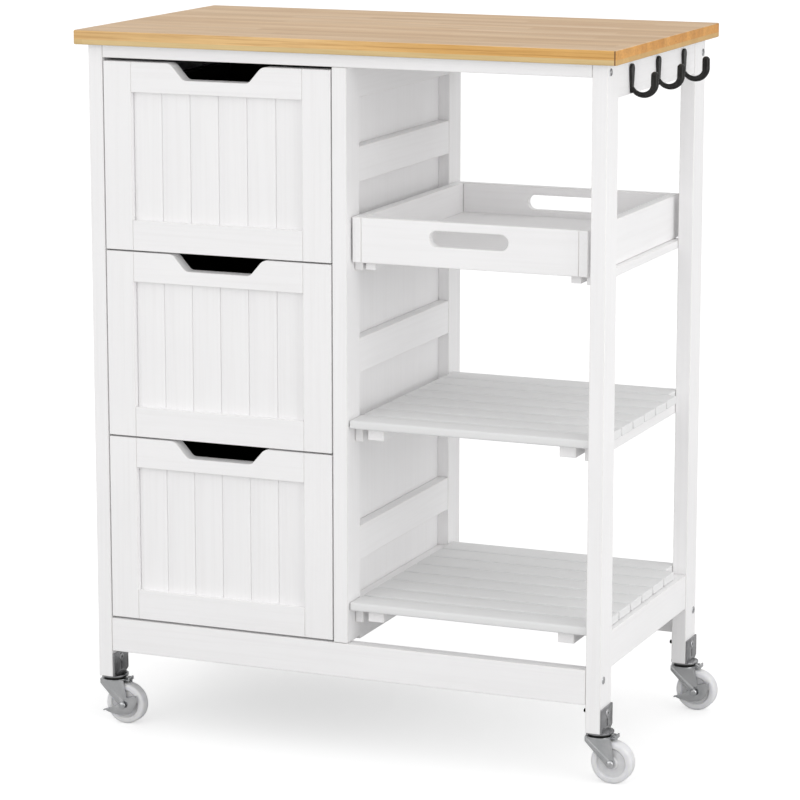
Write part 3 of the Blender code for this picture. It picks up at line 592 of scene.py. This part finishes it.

# %% [markdown]
# ## Drawer boxes
# Behind each front is a box of thin sides, a back and a floor, with a groove in each
# side for the runner. The frame part already has its grooves and its hollow, so a
# softened copy is enough; only its front is hidden by the drawer front. The boards are
# near black with a fine leathery texture: painted shade, so what shows through the
# finger notch is dark.

# %% Near-black boards of painted shade, and the boxes
# Near black all over, with lighter edges and a leathery bump: painted shade for what is seen through the
# finger notch.
def near_black_shade():
    material, tree, shader = new_finish("black_painted_shade")
    plain = add_node(tree, "ShaderNodeTexCoord").outputs["Object"]
    leather = add_node(tree, "ShaderNodeTexVoronoi", {"Vector": plain, "Scale": 1400.0}).outputs["Distance"]
    cloud = noise(tree, plain, 30.0, 3.0)
    thin = add_node(tree, "ShaderNodeAttribute", attribute_name="edge").outputs["Fac"]
    tone = ramp(tree, cloud, [(0.3, (0.016, 0.016, 0.015)), (0.7, (0.026, 0.025, 0.024))])
    edge = maths(tree, "MULTIPLY", thin, 0.5)
    tree.links.new(mix_colour(tree, edge, tone, (0.05, 0.048, 0.045, 1)), shader.inputs["Base Color"])
    tree.links.new(to_range(tree, cloud, 0.45, 0.58), shader.inputs["Roughness"])
    tree.links.new(bump(tree, leather, 0.2, 0.0002), shader.inputs["Normal"])
    return material


# The drawer boxes are near black: painted shade.
SHADE_BLACK = near_black_shade()
for index in (1, 2, 3):
    node = f"drawer_box_{index}"
    box = mesh_of(node)
    soften(box, PANEL_EDGE)
    fit(add_mesh_object(f"drawer_{index}_box", box, [SHADE_BLACK]), f"drawer_{index}", [node])
print("drawer boxes: 3")

# %% [markdown]
# ## The serving tray
# The tray lifts out. Its end walls run the full depth and cover the ends of the
# front and back walls, which each have a long slot for the fingers. The slot is an
# outline inside an outline, so such a wall is drawn as a lower and an upper half,
# which meet at the slot's two ends.

# %% The tray
TRAY_WALL, TRAY_JOINT = 0.011, 0.0001
SLOT_LENGTH, SLOT_HEIGHT, SLOT_DROP = 0.096, 0.0185, 0.0198


def slot_outline(middle_x, middle_z, steps=12):
    radius = SLOT_HEIGHT / 2
    reach = SLOT_LENGTH / 2 - radius
    right = arc((middle_x + reach, middle_z), radius, -pi / 2, pi / 2, steps)
    left = arc((middle_x - reach, middle_z), radius, pi / 2, 3 * pi / 2, steps)
    return right + left


def add_slotted_wall(bm, x_low, x_high, z_low, z_high, y_low, y_high):
    """A wall with a round-ended slot, as two halves that meet left and right of it."""
    slot = slot_outline((x_low + x_high) / 2, z_high - SLOT_DROP)
    quarter = len(slot) // 4
    lower, upper = slot[-quarter:] + slot[:quarter + 1], slot[quarter:-quarter + 1]
    edge = [(x_low, z_low), (x_high, z_low), (x_high, slot[quarter][1]),
            (x_high, z_high), (x_low, z_high), (x_low, slot[-quarter][1])]
    sides = []
    for y in (y_low, y_high):
        points = {(x, z): bm.verts.new((x, y, z)) for x, z in slot + edge}
        bm.faces.new([points[place] for place in (edge[-1], *edge[:3], *reversed(lower))])
        bm.faces.new([points[place] for place in (*edge[2:], *reversed(upper))])
        sides.append(points)
    front, back = sides
    for ring in (slot, edge):
        for place, following in zip(ring, ring[1:] + ring[:1]):
            bm.faces.new((front[place], front[following], back[following], back[place]))


def make_tray():
    low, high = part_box("tray_walls")
    ends = bmesh.new()
    add_block(ends, low, Vector((low.x + TRAY_WALL, high.y, high.z)))
    add_block(ends, Vector((high.x - TRAY_WALL, low.y, low.z)), high)
    soften(ends, EDGE_ROUND)
    fit(add_mesh_object("tray_ends", ends, [PAINT["crosswise"]]), "tray", ["tray_walls"])
    walls = bmesh.new()
    inside = (low.x + TRAY_WALL + TRAY_JOINT, high.x - TRAY_WALL - TRAY_JOINT, low.z, high.z)
    add_slotted_wall(walls, *inside, low.y, low.y + TRAY_WALL)
    add_slotted_wall(walls, *inside, high.y - TRAY_WALL, high.y)
    bmesh.ops.recalc_face_normals(walls, faces=walls.faces)
    soften(walls, EDGE_ROUND)
    fit(add_mesh_object("tray_slotted_walls", walls, [PAINT["lengthwise"]]), "tray")
    painted_board("tray_floor", "lengthwise", PANEL_EDGE)
    print("tray:", [round(side, 4) for side in high - low])


make_tray()

# %% [markdown]
# ## The worktop
# The top is bamboo: strips laid side by side and glued, in two layers, so the edge
# shows a darker, streaky upper layer and a paler lower one. Seen from above the
# strips differ a little in tone, each changes where one length of cane ends and the
# next begins, and all carry the fine dark dashes of bamboo fibre. The pattern is
# worked out from the object's own coordinates: which strip, which length of cane, and
# which layer a point belongs to, each with its own random shade. The edges get their
# own tints, with painted light and shade along the upper layer's edges, which grow
# darker and more golden towards the right end, and a dark line down the front edge by
# the right front corner.

# %% Bamboo
STRIP, CANE = 0.021, 0.42
# Where the dark line on the front edge lies, in from the right front corner, and its half width.
LINE_INSET, LINE_HALF = 0.0018, 0.0008
UPPER_LAYER, TOP_ROUND = 0.0108, 0.0016
PALE, CORNER_DARK, UNDERSIDE = (0.80, 0.66, 0.36, 1), (0.22, 0.10, 0.03, 1), (0.80, 0.79, 0.78, 1)
LOWER_TINT, END_TINT, FACE_TINT = (0.90, 0.88, 0.80, 1), (0.97, 0.84, 0.68, 1), (0.95, 0.995, 1.27, 1)
# Tints of the upper layer's edges, mixed from left to right: painted light at the left end, painted shade,
# darker and more golden, at the right end.
LEFT_LIT_TINT, RIGHT_SHADE_TINT = (1.03, 1.01, 0.95, 1), (1.0, 0.86, 0.54, 1)     # of the upper layer's edges
top_low, top_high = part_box("worktop")


def bamboo():
    material, tree, shader = new_finish("bamboo_oiled")
    place = add_node(tree, "ShaderNodeTexCoord").outputs["Object"]
    along = add_node(tree, "ShaderNodeSeparateXYZ", {"Vector": place}).outputs
    strip = maths(tree, "FLOOR", maths(tree, "DIVIDE", along["Y"], STRIP))
    layer = maths(tree, "GREATER_THAN", along["Z"], top_high.z - UPPER_LAYER)
    shift = add_node(tree, "ShaderNodeTexWhiteNoise", {
        "Vector": combine(tree, x=strip, y=layer)}, noise_dimensions="3D").outputs["Value"]
    cane = maths(tree, "FLOOR", maths(tree, "ADD", maths(tree, "DIVIDE", along["X"], CANE), shift))
    tone = add_node(tree, "ShaderNodeTexWhiteNoise", {
        "Vector": combine(tree, x=strip, y=cane, z=layer)}, noise_dimensions="3D").outputs["Value"]
    cloud = noise(tree, stretched(tree, "lengthwise", 4, 42), 1.0, 4.0, 0.6)
    fibre = noise(tree, stretched(tree, "lengthwise", 26, 1500), 1.0, 3.0, 0.7)
    streak = noise(tree, stretched(tree, "lengthwise", 7, 420), 1.0, 4.0, 0.65)
    base = ramp(tree, tone, [
        (0.0, (0.70, 0.44, 0.185)), (0.5, (0.78, 0.52, 0.235)), (1.0, (0.84, 0.59, 0.30))])
    shade = ramp(tree, cloud, [(0.3, (0.86, 0.82, 0.76)), (0.62, (1.04, 1.03, 1.02))])
    base = mix_colour(tree, 1.0, base, shade, "MULTIPLY")
    lines = ramp(tree, fibre, [(0.30, (0.80, 0.74, 0.66)), (0.52, (1, 1, 1))])
    base = mix_colour(tree, 0.6, base, lines, "MULTIPLY")
    bands = ramp(tree, streak, [(0.30, (0.70, 0.56, 0.40)), (0.50, (1, 1, 1)), (0.75, (1.08, 1.10, 1.16))])
    base = mix_colour(tree, 0.75, base, bands, "MULTIPLY")
    pale = mix_colour(tree, 0.45, base, PALE)
    normal = add_node(tree, "ShaderNodeNewGeometry").outputs["Normal"]
    parts = add_node(tree, "ShaderNodeSeparateXYZ", {"Vector": normal}).outputs
    facing, endways = parts["Z"], maths(tree, "ABSOLUTE", parts["X"])
    # Painted light and shade: the upper layer's edges grow darker and more golden from the left end to the
    # right.
    edge_light_falloff = mix_colour(tree, to_range(tree, along["X"], 0.0, 1.0, -0.06, 0.12), LEFT_LIT_TINT, RIGHT_SHADE_TINT)
    side_grain = mix_colour(tree, layer, mix_colour(tree, 1.0, pale, LOWER_TINT, "MULTIPLY"),
                            mix_colour(tree, 1.0, base, edge_light_falloff, "MULTIPLY"))
    end_grain = mix_colour(tree, 1.0, side_grain, END_TINT, "MULTIPLY")
    side_grain = mix_colour(tree, maths(tree, "GREATER_THAN", endways, 0.6), side_grain, end_grain)
    face_grain = mix_colour(tree, 1.0, base, FACE_TINT, "MULTIPLY")
    forward = maths(tree, "LESS_THAN", parts["Y"], -0.6)
    # A dark line down the front edge, a little in from the right front corner.
    corner_line = maths(tree, "COMPARE", along["X"], top_high.x - LINE_INSET, LINE_HALF)
    corner_line = maths(tree, "MULTIPLY", corner_line, forward)
    side_grain = mix_colour(tree, corner_line, side_grain, CORNER_DARK)
    upward = maths(tree, "GREATER_THAN", facing, 0.6)
    base = mix_colour(tree, upward, side_grain, face_grain)
    under = maths(tree, "LESS_THAN", facing, -0.9)
    base = mix_colour(tree, under, base, UNDERSIDE)
    tree.links.new(base, shader.inputs["Base Color"])
    tree.links.new(to_range(tree, fibre, 0.46, 0.34), shader.inputs["Roughness"])
    shader.inputs["Specular IOR Level"].default_value = 0.5
    tree.links.new(bump(tree, fibre, 0.25, 0.0002), shader.inputs["Normal"])
    return material


top = mesh_of("worktop")
soften(top, TOP_ROUND, segments=3)
fit(add_mesh_object("worktop_bamboo", top, [bamboo()]), "frame", ["worktop"])
print("worktop:", [round(side, 4) for side in top_high - top_low])

# %% [markdown]
# ## Metal finishes
# Zinc plate is bright but not a mirror: its roughness wanders, and fine handling
# marks cloud it. The caster plates get a darker copy of the zinc, which is painted
# shade: it stands in for their shadow and the dark surroundings they reflect. Black
# enamel is a thick glossy coat that hides the wire below it, and it has a very slight
# orange peel.

# %% Zinc, enamel and shadow
def zinc(name, dull, bright):
    material, tree, shader = new_finish(name)
    plain = add_node(tree, "ShaderNodeTexCoord").outputs["Object"]
    cloud = noise(tree, plain, 70.0, 3.0, 0.5)
    marks = noise(tree, plain, 1800.0, 2.0)
    tone = ramp(tree, cloud, [(0.35, dull), (0.65, bright)])
    tree.links.new(tone, shader.inputs["Base Color"])
    tree.links.new(to_range(tree, cloud, 0.20, 0.28), shader.inputs["Roughness"])
    shader.inputs["Metallic"].default_value = 1.0
    tree.links.new(bump(tree, marks, 0.05, 0.0001), shader.inputs["Normal"])
    return material


def enamel():
    material, tree, shader = new_finish("black_enamel")
    plain = add_node(tree, "ShaderNodeTexCoord").outputs["Object"]
    peel = noise(tree, plain, 600.0, 2.0)
    cloud = noise(tree, plain, 90.0, 2.0)
    tone = ramp(tree, cloud, [(0.3, (0.010, 0.010, 0.010)), (0.7, (0.022, 0.021, 0.019))])
    tree.links.new(tone, shader.inputs["Base Color"])
    tree.links.new(to_range(tree, cloud, 0.16, 0.26), shader.inputs["Roughness"])
    shader.inputs["Specular IOR Level"].default_value = 0.24
    shader.inputs["Coat Weight"].default_value = 0.06
    shader.inputs["Coat Roughness"].default_value = 0.08
    tree.links.new(bump(tree, peel, 0.06, 0.0001), shader.inputs["Normal"])
    return material


ZINC = zinc("zinc_bright", (0.53, 0.54, 0.55), (0.63, 0.63, 0.64))
# A darker copy of the zinc for the caster plates: painted shade and painted dark reflection.
SHADED_ZINC = zinc("zinc_painted_shade", (0.30, 0.30, 0.31), (0.40, 0.40, 0.41))
ENAMEL = enamel()
print("metal finishes:", ZINC.name, SHADED_ZINC.name, ENAMEL.name)

# %% [markdown]
# ## Coat hooks
# Three hooks hang on the right end's top rail. Each is a strap with a round head that
# narrows downwards, and a wire that leaves its foot, turns up through a half circle
# and thickens to a round tip. One hook is made from two outlines, and a geometry tree
# copies it along the rail.

# %% One hook
HOOK_BEND_STEPS, HOOK_TIP_STEPS, STRAP_STEPS = 24, 6, 12
# Distances out from the hook rail, and depths below the worktop's surface
HOOK_ROOT, HOOK_REACH = 0.0010, 0.0285
HOOK_BEND_TOP, HOOK_BEND_DEPTH = 0.0453, 0.0125
HOOK_TIP_TOP = 0.0355       # where the tip starts to round over
HOOK_START = radians(25)    # how far round the bend the wire leaves the strap
WIRE_RADIUS, TIP_RADIUS, TIP_FLAT = 0.0024, 0.0046, 0.12
STRAP_HALF, STRAP_FOOT_HALF, STRAP_THICK, STRAP_ROUND = 0.0062, 0.0024, 0.0032, 0.0009
STRAP_TOP, STRAP_FOOT = 0.0227, 0.0560
hook_low, hook_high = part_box("hook_1")
HOOK_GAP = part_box("hook_2")[0].y - hook_low.y


def sweep(bm, points, segments=16):
    """A closed round rod through points of (place, radius), all in one X-Z plane."""
    across = Vector((0, 1, 0))
    rings = []
    for index, (place, radius) in enumerate(points):
        ahead = points[min(index + 1, len(points) - 1)][0] - points[max(index - 1, 0)][0]
        upward = ahead.normalized().cross(across)
        turns = [2 * pi * step / segments for step in range(segments)]
        rings.append([bm.verts.new(place + radius * (cos(turn) * across + sin(turn) * upward))
                      for turn in turns])
    for ring, following in zip(rings, rings[1:]):
        for step in range(segments):
            after = (step + 1) % segments
            bm.faces.new((ring[step], ring[after], following[after], following[step])).smooth = True
    bm.faces.new(list(reversed(rings[0])))
    bm.faces.new(rings[-1])


def hook_arm(face, y, top_z):
    """Points along the wire: out of the strap's foot, round the bend and up to the tip."""
    bend = (HOOK_REACH - HOOK_ROOT) / 2
    path = []
    for step in range(HOOK_BEND_STEPS + 1):
        share = step / HOOK_BEND_STEPS
        angle = HOOK_START + (pi - HOOK_START) * share
        radius = WIRE_RADIUS + (TIP_RADIUS - WIRE_RADIUS) * share
        place = (HOOK_ROOT + bend - bend * cos(angle), HOOK_BEND_TOP + HOOK_BEND_DEPTH * sin(angle))
        path.append((place, radius))
    for step in range(1, HOOK_TIP_STEPS + 1):
        angle = pi / 2 * step / HOOK_TIP_STEPS
        place = (HOOK_REACH, HOOK_TIP_TOP - TIP_RADIUS * sin(angle))
        path.append((place, TIP_RADIUS * max(cos(angle), TIP_FLAT)))
    return [(Vector((face + out, y, top_z - down)), radius) for (out, down), radius in path]


def hook_strap(face, y, top_z):
    """Outline of the strap, in Y and Z: a round head on a tapering foot."""
    outline = arc((y, top_z - (STRAP_TOP + STRAP_HALF)), STRAP_HALF, 0, pi, STRAP_STEPS)
    outline += [(y + side, top_z - STRAP_FOOT) for side in (-STRAP_FOOT_HALF, STRAP_FOOT_HALF)]
    return [Vector((face, across, z)) for across, z in outline]


def make_hook_pattern():
    face = hook_low.x
    y = (hook_low.y + hook_high.y) / 2
    bm = bmesh.new()
    add_slab(bm, hook_strap(face, y, top_high.z), (STRAP_THICK, 0, 0))
    soften(bm, STRAP_ROUND, 3, radians(40))
    arm = bmesh.new()
    sweep(arm, hook_arm(face, y, top_high.z))
    bmesh.ops.recalc_face_normals(arm, faces=arm.faces)
    carrier = bpy.data.meshes.new("arm")
    arm.to_mesh(carrier)
    arm.free()
    bm.from_mesh(carrier)
    return add_mesh_object("hook_pattern", bm, [ENAMEL])


# %% The row of hooks
def row_tree():
    tree, given = new_tree("row_of_copies", {
        "Pattern": "Object", "Count": "Int", "Step": "Vector", "Material": "Material"})
    pattern = add_node(tree, "GeometryNodeObjectInfo", {"Object": given["Pattern"]})
    row = add_node(tree, "GeometryNodeMeshLine", {"Count": given["Count"], "Offset": given["Step"]})
    copies = add_node(tree, "GeometryNodeInstanceOnPoints", {
        "Points": row.outputs[0], "Instance": pattern.outputs["Geometry"]})
    end_tree(tree, copies.outputs[0], given["Material"])
    return tree


copies = row_tree()
pattern = make_hook_pattern()
hooks = run_tree("hooks", copies, {
    "Pattern": pattern, "Count": 3, "Step": (0, HOOK_GAP, 0), "Material": ENAMEL})
bpy.data.objects.remove(pattern)
fit(hooks, "frame", ["hook_1", "hook_2", "hook_3"])
print("hooks:", [round(side, 4) for side in hooks.dimensions])

# %% [markdown]
# ## Bolts, nuts and rivets
# Small fasteners are the same few heads over and over. A tree puts a copy of one head
# on every point it is given and turns it to face the way that the point says, so a
# list of places and directions is all that each group needs.

# %% The tree that places fasteners
def fastener_tree():
    tree, given = new_tree("fasteners", {
        "Points": "Geometry", "Pattern": "Object", "Material": "Material"})
    pattern = add_node(tree, "GeometryNodeObjectInfo", {"Object": given["Pattern"]})
    facing = add_node(tree, "GeometryNodeInputNamedAttribute", {"Name": "facing"}, data_type="FLOAT_VECTOR")
    turn = add_node(tree, "FunctionNodeAlignRotationToVector", {"Vector": facing.outputs[0]}, axis="Z")
    heads = add_node(tree, "GeometryNodeInstanceOnPoints", {
        "Points": given["Points"], "Instance": pattern.outputs["Geometry"], "Rotation": turn.outputs[0]})
    end_tree(tree, heads.outputs[0], given["Material"])
    return tree


def place_fasteners(name, pattern, places, body, finish=ZINC):
    """Copies of a head at places of (point, direction)."""
    mesh = bpy.data.meshes.new(f"{name}_places")
    mesh.from_pydata([point for point, direction in places], [], [])
    facing = mesh.attributes.new("facing", "FLOAT_VECTOR", "POINT")
    for index, (point, direction) in enumerate(places):
        facing.data[index].vector = direction
    piece = run_tree(name, fasteners, {"Pattern": pattern, "Material": finish}, mesh)
    return fit(piece, body)


fasteners = fastener_tree()


# %% Heads
CREASE = radians(35)        # the least turn between two faces that stays sharp to the eye


def hexagon(radius, turn):
    return radius * cos(pi / 6) / cos((turn + pi / 6) % (pi / 3) - pi / 6)


def turned(profile, socket_from=None, segments=24):
    """A solid turned round Z from a profile of (radius, height), out from the axis and back.

    From point number socket_from on, its rings are hexagons, as a key's socket is."""
    bm = bmesh.new()
    rings = []
    for index, (radius, height) in enumerate(profile):
        if radius == 0:
            rings.append([bm.verts.new((0, 0, height))])
            continue
        ring = []
        for step in range(segments):
            turn = 2 * pi * step / segments
            out = radius if socket_from is None or index < socket_from else hexagon(radius, turn)
            ring.append(bm.verts.new((out * cos(turn), out * sin(turn), height)))
        rings.append(ring)
    for ring, following in zip(rings, rings[1:]):
        for step in range(segments):
            after = (step + 1) % segments
            corners = [ring[step % len(ring)], ring[after % len(ring)],
                       following[after % len(following)], following[step % len(following)]]
            bm.faces.new(list(dict.fromkeys(corners)))
    bmesh.ops.recalc_face_normals(bm, faces=bm.faces)
    return bm


def add_metal_object(name, bm, finishes):
    """A smooth piece whose creases stay sharp."""
    for face in bm.faces:
        face.smooth = True
    piece = add_mesh_object(name, bm, finishes)
    piece.data.set_sharp_from_angle(angle=CREASE)
    return piece


BOLT = [(0, -0.0005), (0.0045, -0.0005), (0.0045, 0.0004), (0.0042, 0.0008), (0.0034, 0.0010),
        (0.0020, 0.0010), (0.0019, -0.0002), (0, -0.0002)]
NUT = [(0, -0.0005), (0.0042, -0.0005), (0.0042, 0.0036), (0.0036, 0.0040), (0.0025, 0.0040),
       (0.0025, 0.0076), (0.0020, 0.0080), (0, 0.0080)]
RIVET = [(0, -0.0006), (0.0046, -0.0006), (0.0046, 0.0002), (0.0040, 0.0012), (0.0026, 0.0019), (0, 0.0022)]

# The heads are kept only until their copies are placed
bolt = add_metal_object("bolt", turned(BOLT, socket_from=5), [ZINC])
nut = add_metal_object("nut", turned(NUT, segments=6), [ZINC])
rivet = add_metal_object("rivet", turned(RIVET), [ZINC])

# %% Where they go
OUT_RIGHT, OUT_LEFT = Vector((1, 0, 0)), Vector((-1, 0, 0))
BOLT_INSET = 0.010          # from the post's outer edge
FRONT_BOLT, REAR_BOLT, LOWER_BOLT = 0.026, 0.034, 0.722     # below the worktop's surface


def post_bolts(post, outward):
    """Two bolts through a post, one by its top and one by its foot."""
    low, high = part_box(post)
    x = high.x if outward.x > 0 else low.x
    front = low.y < 0
    near = low.y + BOLT_INSET if front else high.y - BOLT_INSET
    depths = (FRONT_BOLT if front else REAR_BOLT, LOWER_BOLT)
    return [(Vector((x, near, top_high.z - depth)), outward) for depth in depths]


places = []
for side, outward in (("right", OUT_RIGHT), ("left", OUT_LEFT)):
    for end in ("front", "rear"):
        places += post_bolts(f"{end}_{side}_post", outward)
place_fasteners("post_bolts", bolt, places, "frame")
print("post bolts:", len(places))

# %% [markdown]
# ## Casters
# Each caster is an angle plate bolted to the outside of its post, a round race with a
# black ring of painted shade in the gap where its balls run, a pressed fork, and a
# hard, slightly translucent wheel on a riveted axle. The front left and rear right ones
# also have a rocking brake. Plates, forks and brakes are softened copies of the frame's
# parts, and the plates are in the darker zinc of painted shade. The wheels, the rings
# of painted shade and the fasteners are made here, and take their places from the
# boxes of those parts.

# %% Frosted plastic
def frosted(name, low, high):
    material, tree, shader = new_finish(name)
    plain = add_node(tree, "ShaderNodeTexCoord").outputs["Object"]
    cloud = noise(tree, plain, 120.0, 3.0)
    tone = ramp(tree, cloud, [(0.3, low), (0.7, high)])
    tree.links.new(tone, shader.inputs["Base Color"])
    tree.links.new(to_range(tree, cloud, 0.28, 0.40), shader.inputs["Roughness"])
    shader.inputs["Subsurface Weight"].default_value = 0.5
    shader.inputs["Subsurface Radius"].default_value = (0.006, 0.006, 0.007)
    shader.inputs["Subsurface Scale"].default_value = 0.5
    tree.links.new(bump(tree, noise(tree, plain, 1500.0), 0.06, 0.0001), shader.inputs["Normal"])
    return material


TYRE = frosted("frosted_rim", (0.75, 0.75, 0.76), (0.80, 0.80, 0.81))
HUB = frosted("frosted_hub", (0.66, 0.66, 0.67), (0.72, 0.72, 0.73))

# %% The wheel
WHEEL_BORE, WHEEL_HUB = 0.0034, 0.0075
RIM_SHARE, TYRE_SHARE = 0.70, 0.69      # of the wheel's radius: the rim's ring, and where the tyre starts
TREAD_ROUND, TREAD_STEPS = 0.0038, 6
COLLAR, STEP = 0.0006, 0.0008           # how far the hub stands out, and the width of a step in the side
HUB_DISH, RIM_DISH = 0.0016, 0.0018     # how far the disc lies back from the side, by the hub and the rim
HUB_ROOM = 0.0008                       # left free in the frame's box on either side
CROWN = 0.0004


def wheel_profile(radius, half):
    """Half of the wheel's section, from the bore outwards: (radius, half width)."""
    hub, rim = WHEEL_HUB, radius * RIM_SHARE
    profile = [(WHEEL_BORE, half + COLLAR), (hub - STEP, half + COLLAR), (hub, half),
               (hub + STEP, half - HUB_DISH), (rim - 1.5 * STEP, half - RIM_DISH), (rim, half - STEP),
               (rim + STEP, half), (radius - TREAD_ROUND, half)]
    for step in range(1, TREAD_STEPS):
        angle = radians(90 * step / TREAD_STEPS)
        profile.append((radius - TREAD_ROUND + TREAD_ROUND * sin(angle),
                        half - TREAD_ROUND + TREAD_ROUND * cos(angle)))
    profile.append((radius, half - TREAD_ROUND - CROWN))
    return profile


def make_wheel(label, segments=72):
    node = f"{label}_wheel"
    low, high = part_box(node)
    axle, radius = (low + high) / 2, (high.z - low.z) / 2
    side = wheel_profile(radius, (high.y - low.y) / 2 - HUB_ROOM)
    section = side + [(out, -width) for out, width in reversed(side)]
    bm = bmesh.new()
    rings = []
    for step in range(segments):
        turn = 2 * pi * step / segments
        spoke = Vector((cos(turn), 0, sin(turn)))
        rings.append([bm.verts.new(axle + out * spoke + Vector((0, width, 0))) for out, width in section])
    for step in range(segments):
        ring, following = rings[step], rings[(step + 1) % segments]
        for index in range(len(section)):
            after = (index + 1) % len(section)
            face = bm.faces.new((ring[index], ring[after], following[after], following[index]))
            middle = (section[index][0] + section[after][0]) / 2
            face.material_index = 0 if middle > radius * TYRE_SHARE else 1
    bmesh.ops.recalc_face_normals(bm, faces=bm.faces)
    return fit(add_metal_object(f"{label}_tyre", bm, [TYRE, HUB]), node, [node])


# %% Plates, forks and brakes
RACE_RADIUS, RACE_FROM, RACE_TO = 0.0136, 0.0560, 0.0586
DISC_RADIUS, PLATE_FACE = 0.0168, 0.0023
LEG_FACE = 0.01165          # from the wheel's middle to the outside of a leg
PLAIN_END, BRAKED_END = 0.0015, 0.0045      # from a leg's face to the axle's riveted end
PLATE_BOLT = 0.0075         # below the plate's top
METAL_ROUND = 0.0002


def metal_copy(node, name, finish=ZINC):
    bm = mesh_of(node)
    soften(bm, METAL_ROUND, sharper_than=SHARPER)
    return fit(add_metal_object(name, bm, [finish]), body_of(node), [node])


def add_race_gap_shade(label, centre):
    """A black ring in the gap between the two races, where the balls run: painted shade."""
    bm = turned([(0, RACE_FROM), (RACE_RADIUS, RACE_FROM), (RACE_RADIUS, RACE_TO), (0, RACE_TO)], segments=48)
    bmesh.ops.translate(bm, vec=(centre.x, centre.y, 0), verts=bm.verts)
    return fit(add_metal_object(f"{label}_race_seal", bm, [ENAMEL]), "frame")


CASTERS = ("front_left", "front_right", "rear_left", "rear_right")
BRAKED = ("front_left", "rear_right")
for label in CASTERS:
    # The plates take the darker zinc: painted shade.
    metal_copy(f"{label}_caster_bracket", f"{label}_caster_plate", SHADED_ZINC)
    metal_copy(f"{label}_caster_fork", f"{label}_caster_horn")
    make_wheel(label)
    low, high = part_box(f"{label}_caster_bracket")
    post_low, post_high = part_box(f"{label}_post")
    middle = (post_low.y + post_high.y) / 2
    level = high.z - PLATE_BOLT
    # A black ring between the races: painted shade.
    add_race_gap_shade(label, Vector((low.x + DISC_RADIUS, middle, 0)))
    outside, inside = Vector((post_high.x + PLATE_FACE, middle, level)), Vector((post_low.x, middle, level))
    place_fasteners(f"{label}_caster_bolt", bolt, [(outside, OUT_RIGHT)], "frame")
    place_fasteners(f"{label}_caster_nut", nut, [(inside, OUT_LEFT)], "frame", ENAMEL)
    low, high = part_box(f"{label}_wheel")
    axle = (low + high) / 2
    front_end = LEG_FACE + (BRAKED_END if label in BRAKED else PLAIN_END)
    ends = [(axle - Vector((0, front_end, 0)), Vector((0, -1, 0))),
            (axle + Vector((0, LEG_FACE + PLAIN_END, 0)), Vector((0, 1, 0)))]
    place_fasteners(f"{label}_axle_heads", rivet, ends, f"{label}_fork")
for label in BRAKED:
    metal_copy(f"{label}_brake_lever", f"{label}_brake_plate")
for head in (bolt, nut, rivet):
    bpy.data.objects.remove(head)
print("casters:", len(CASTERS))
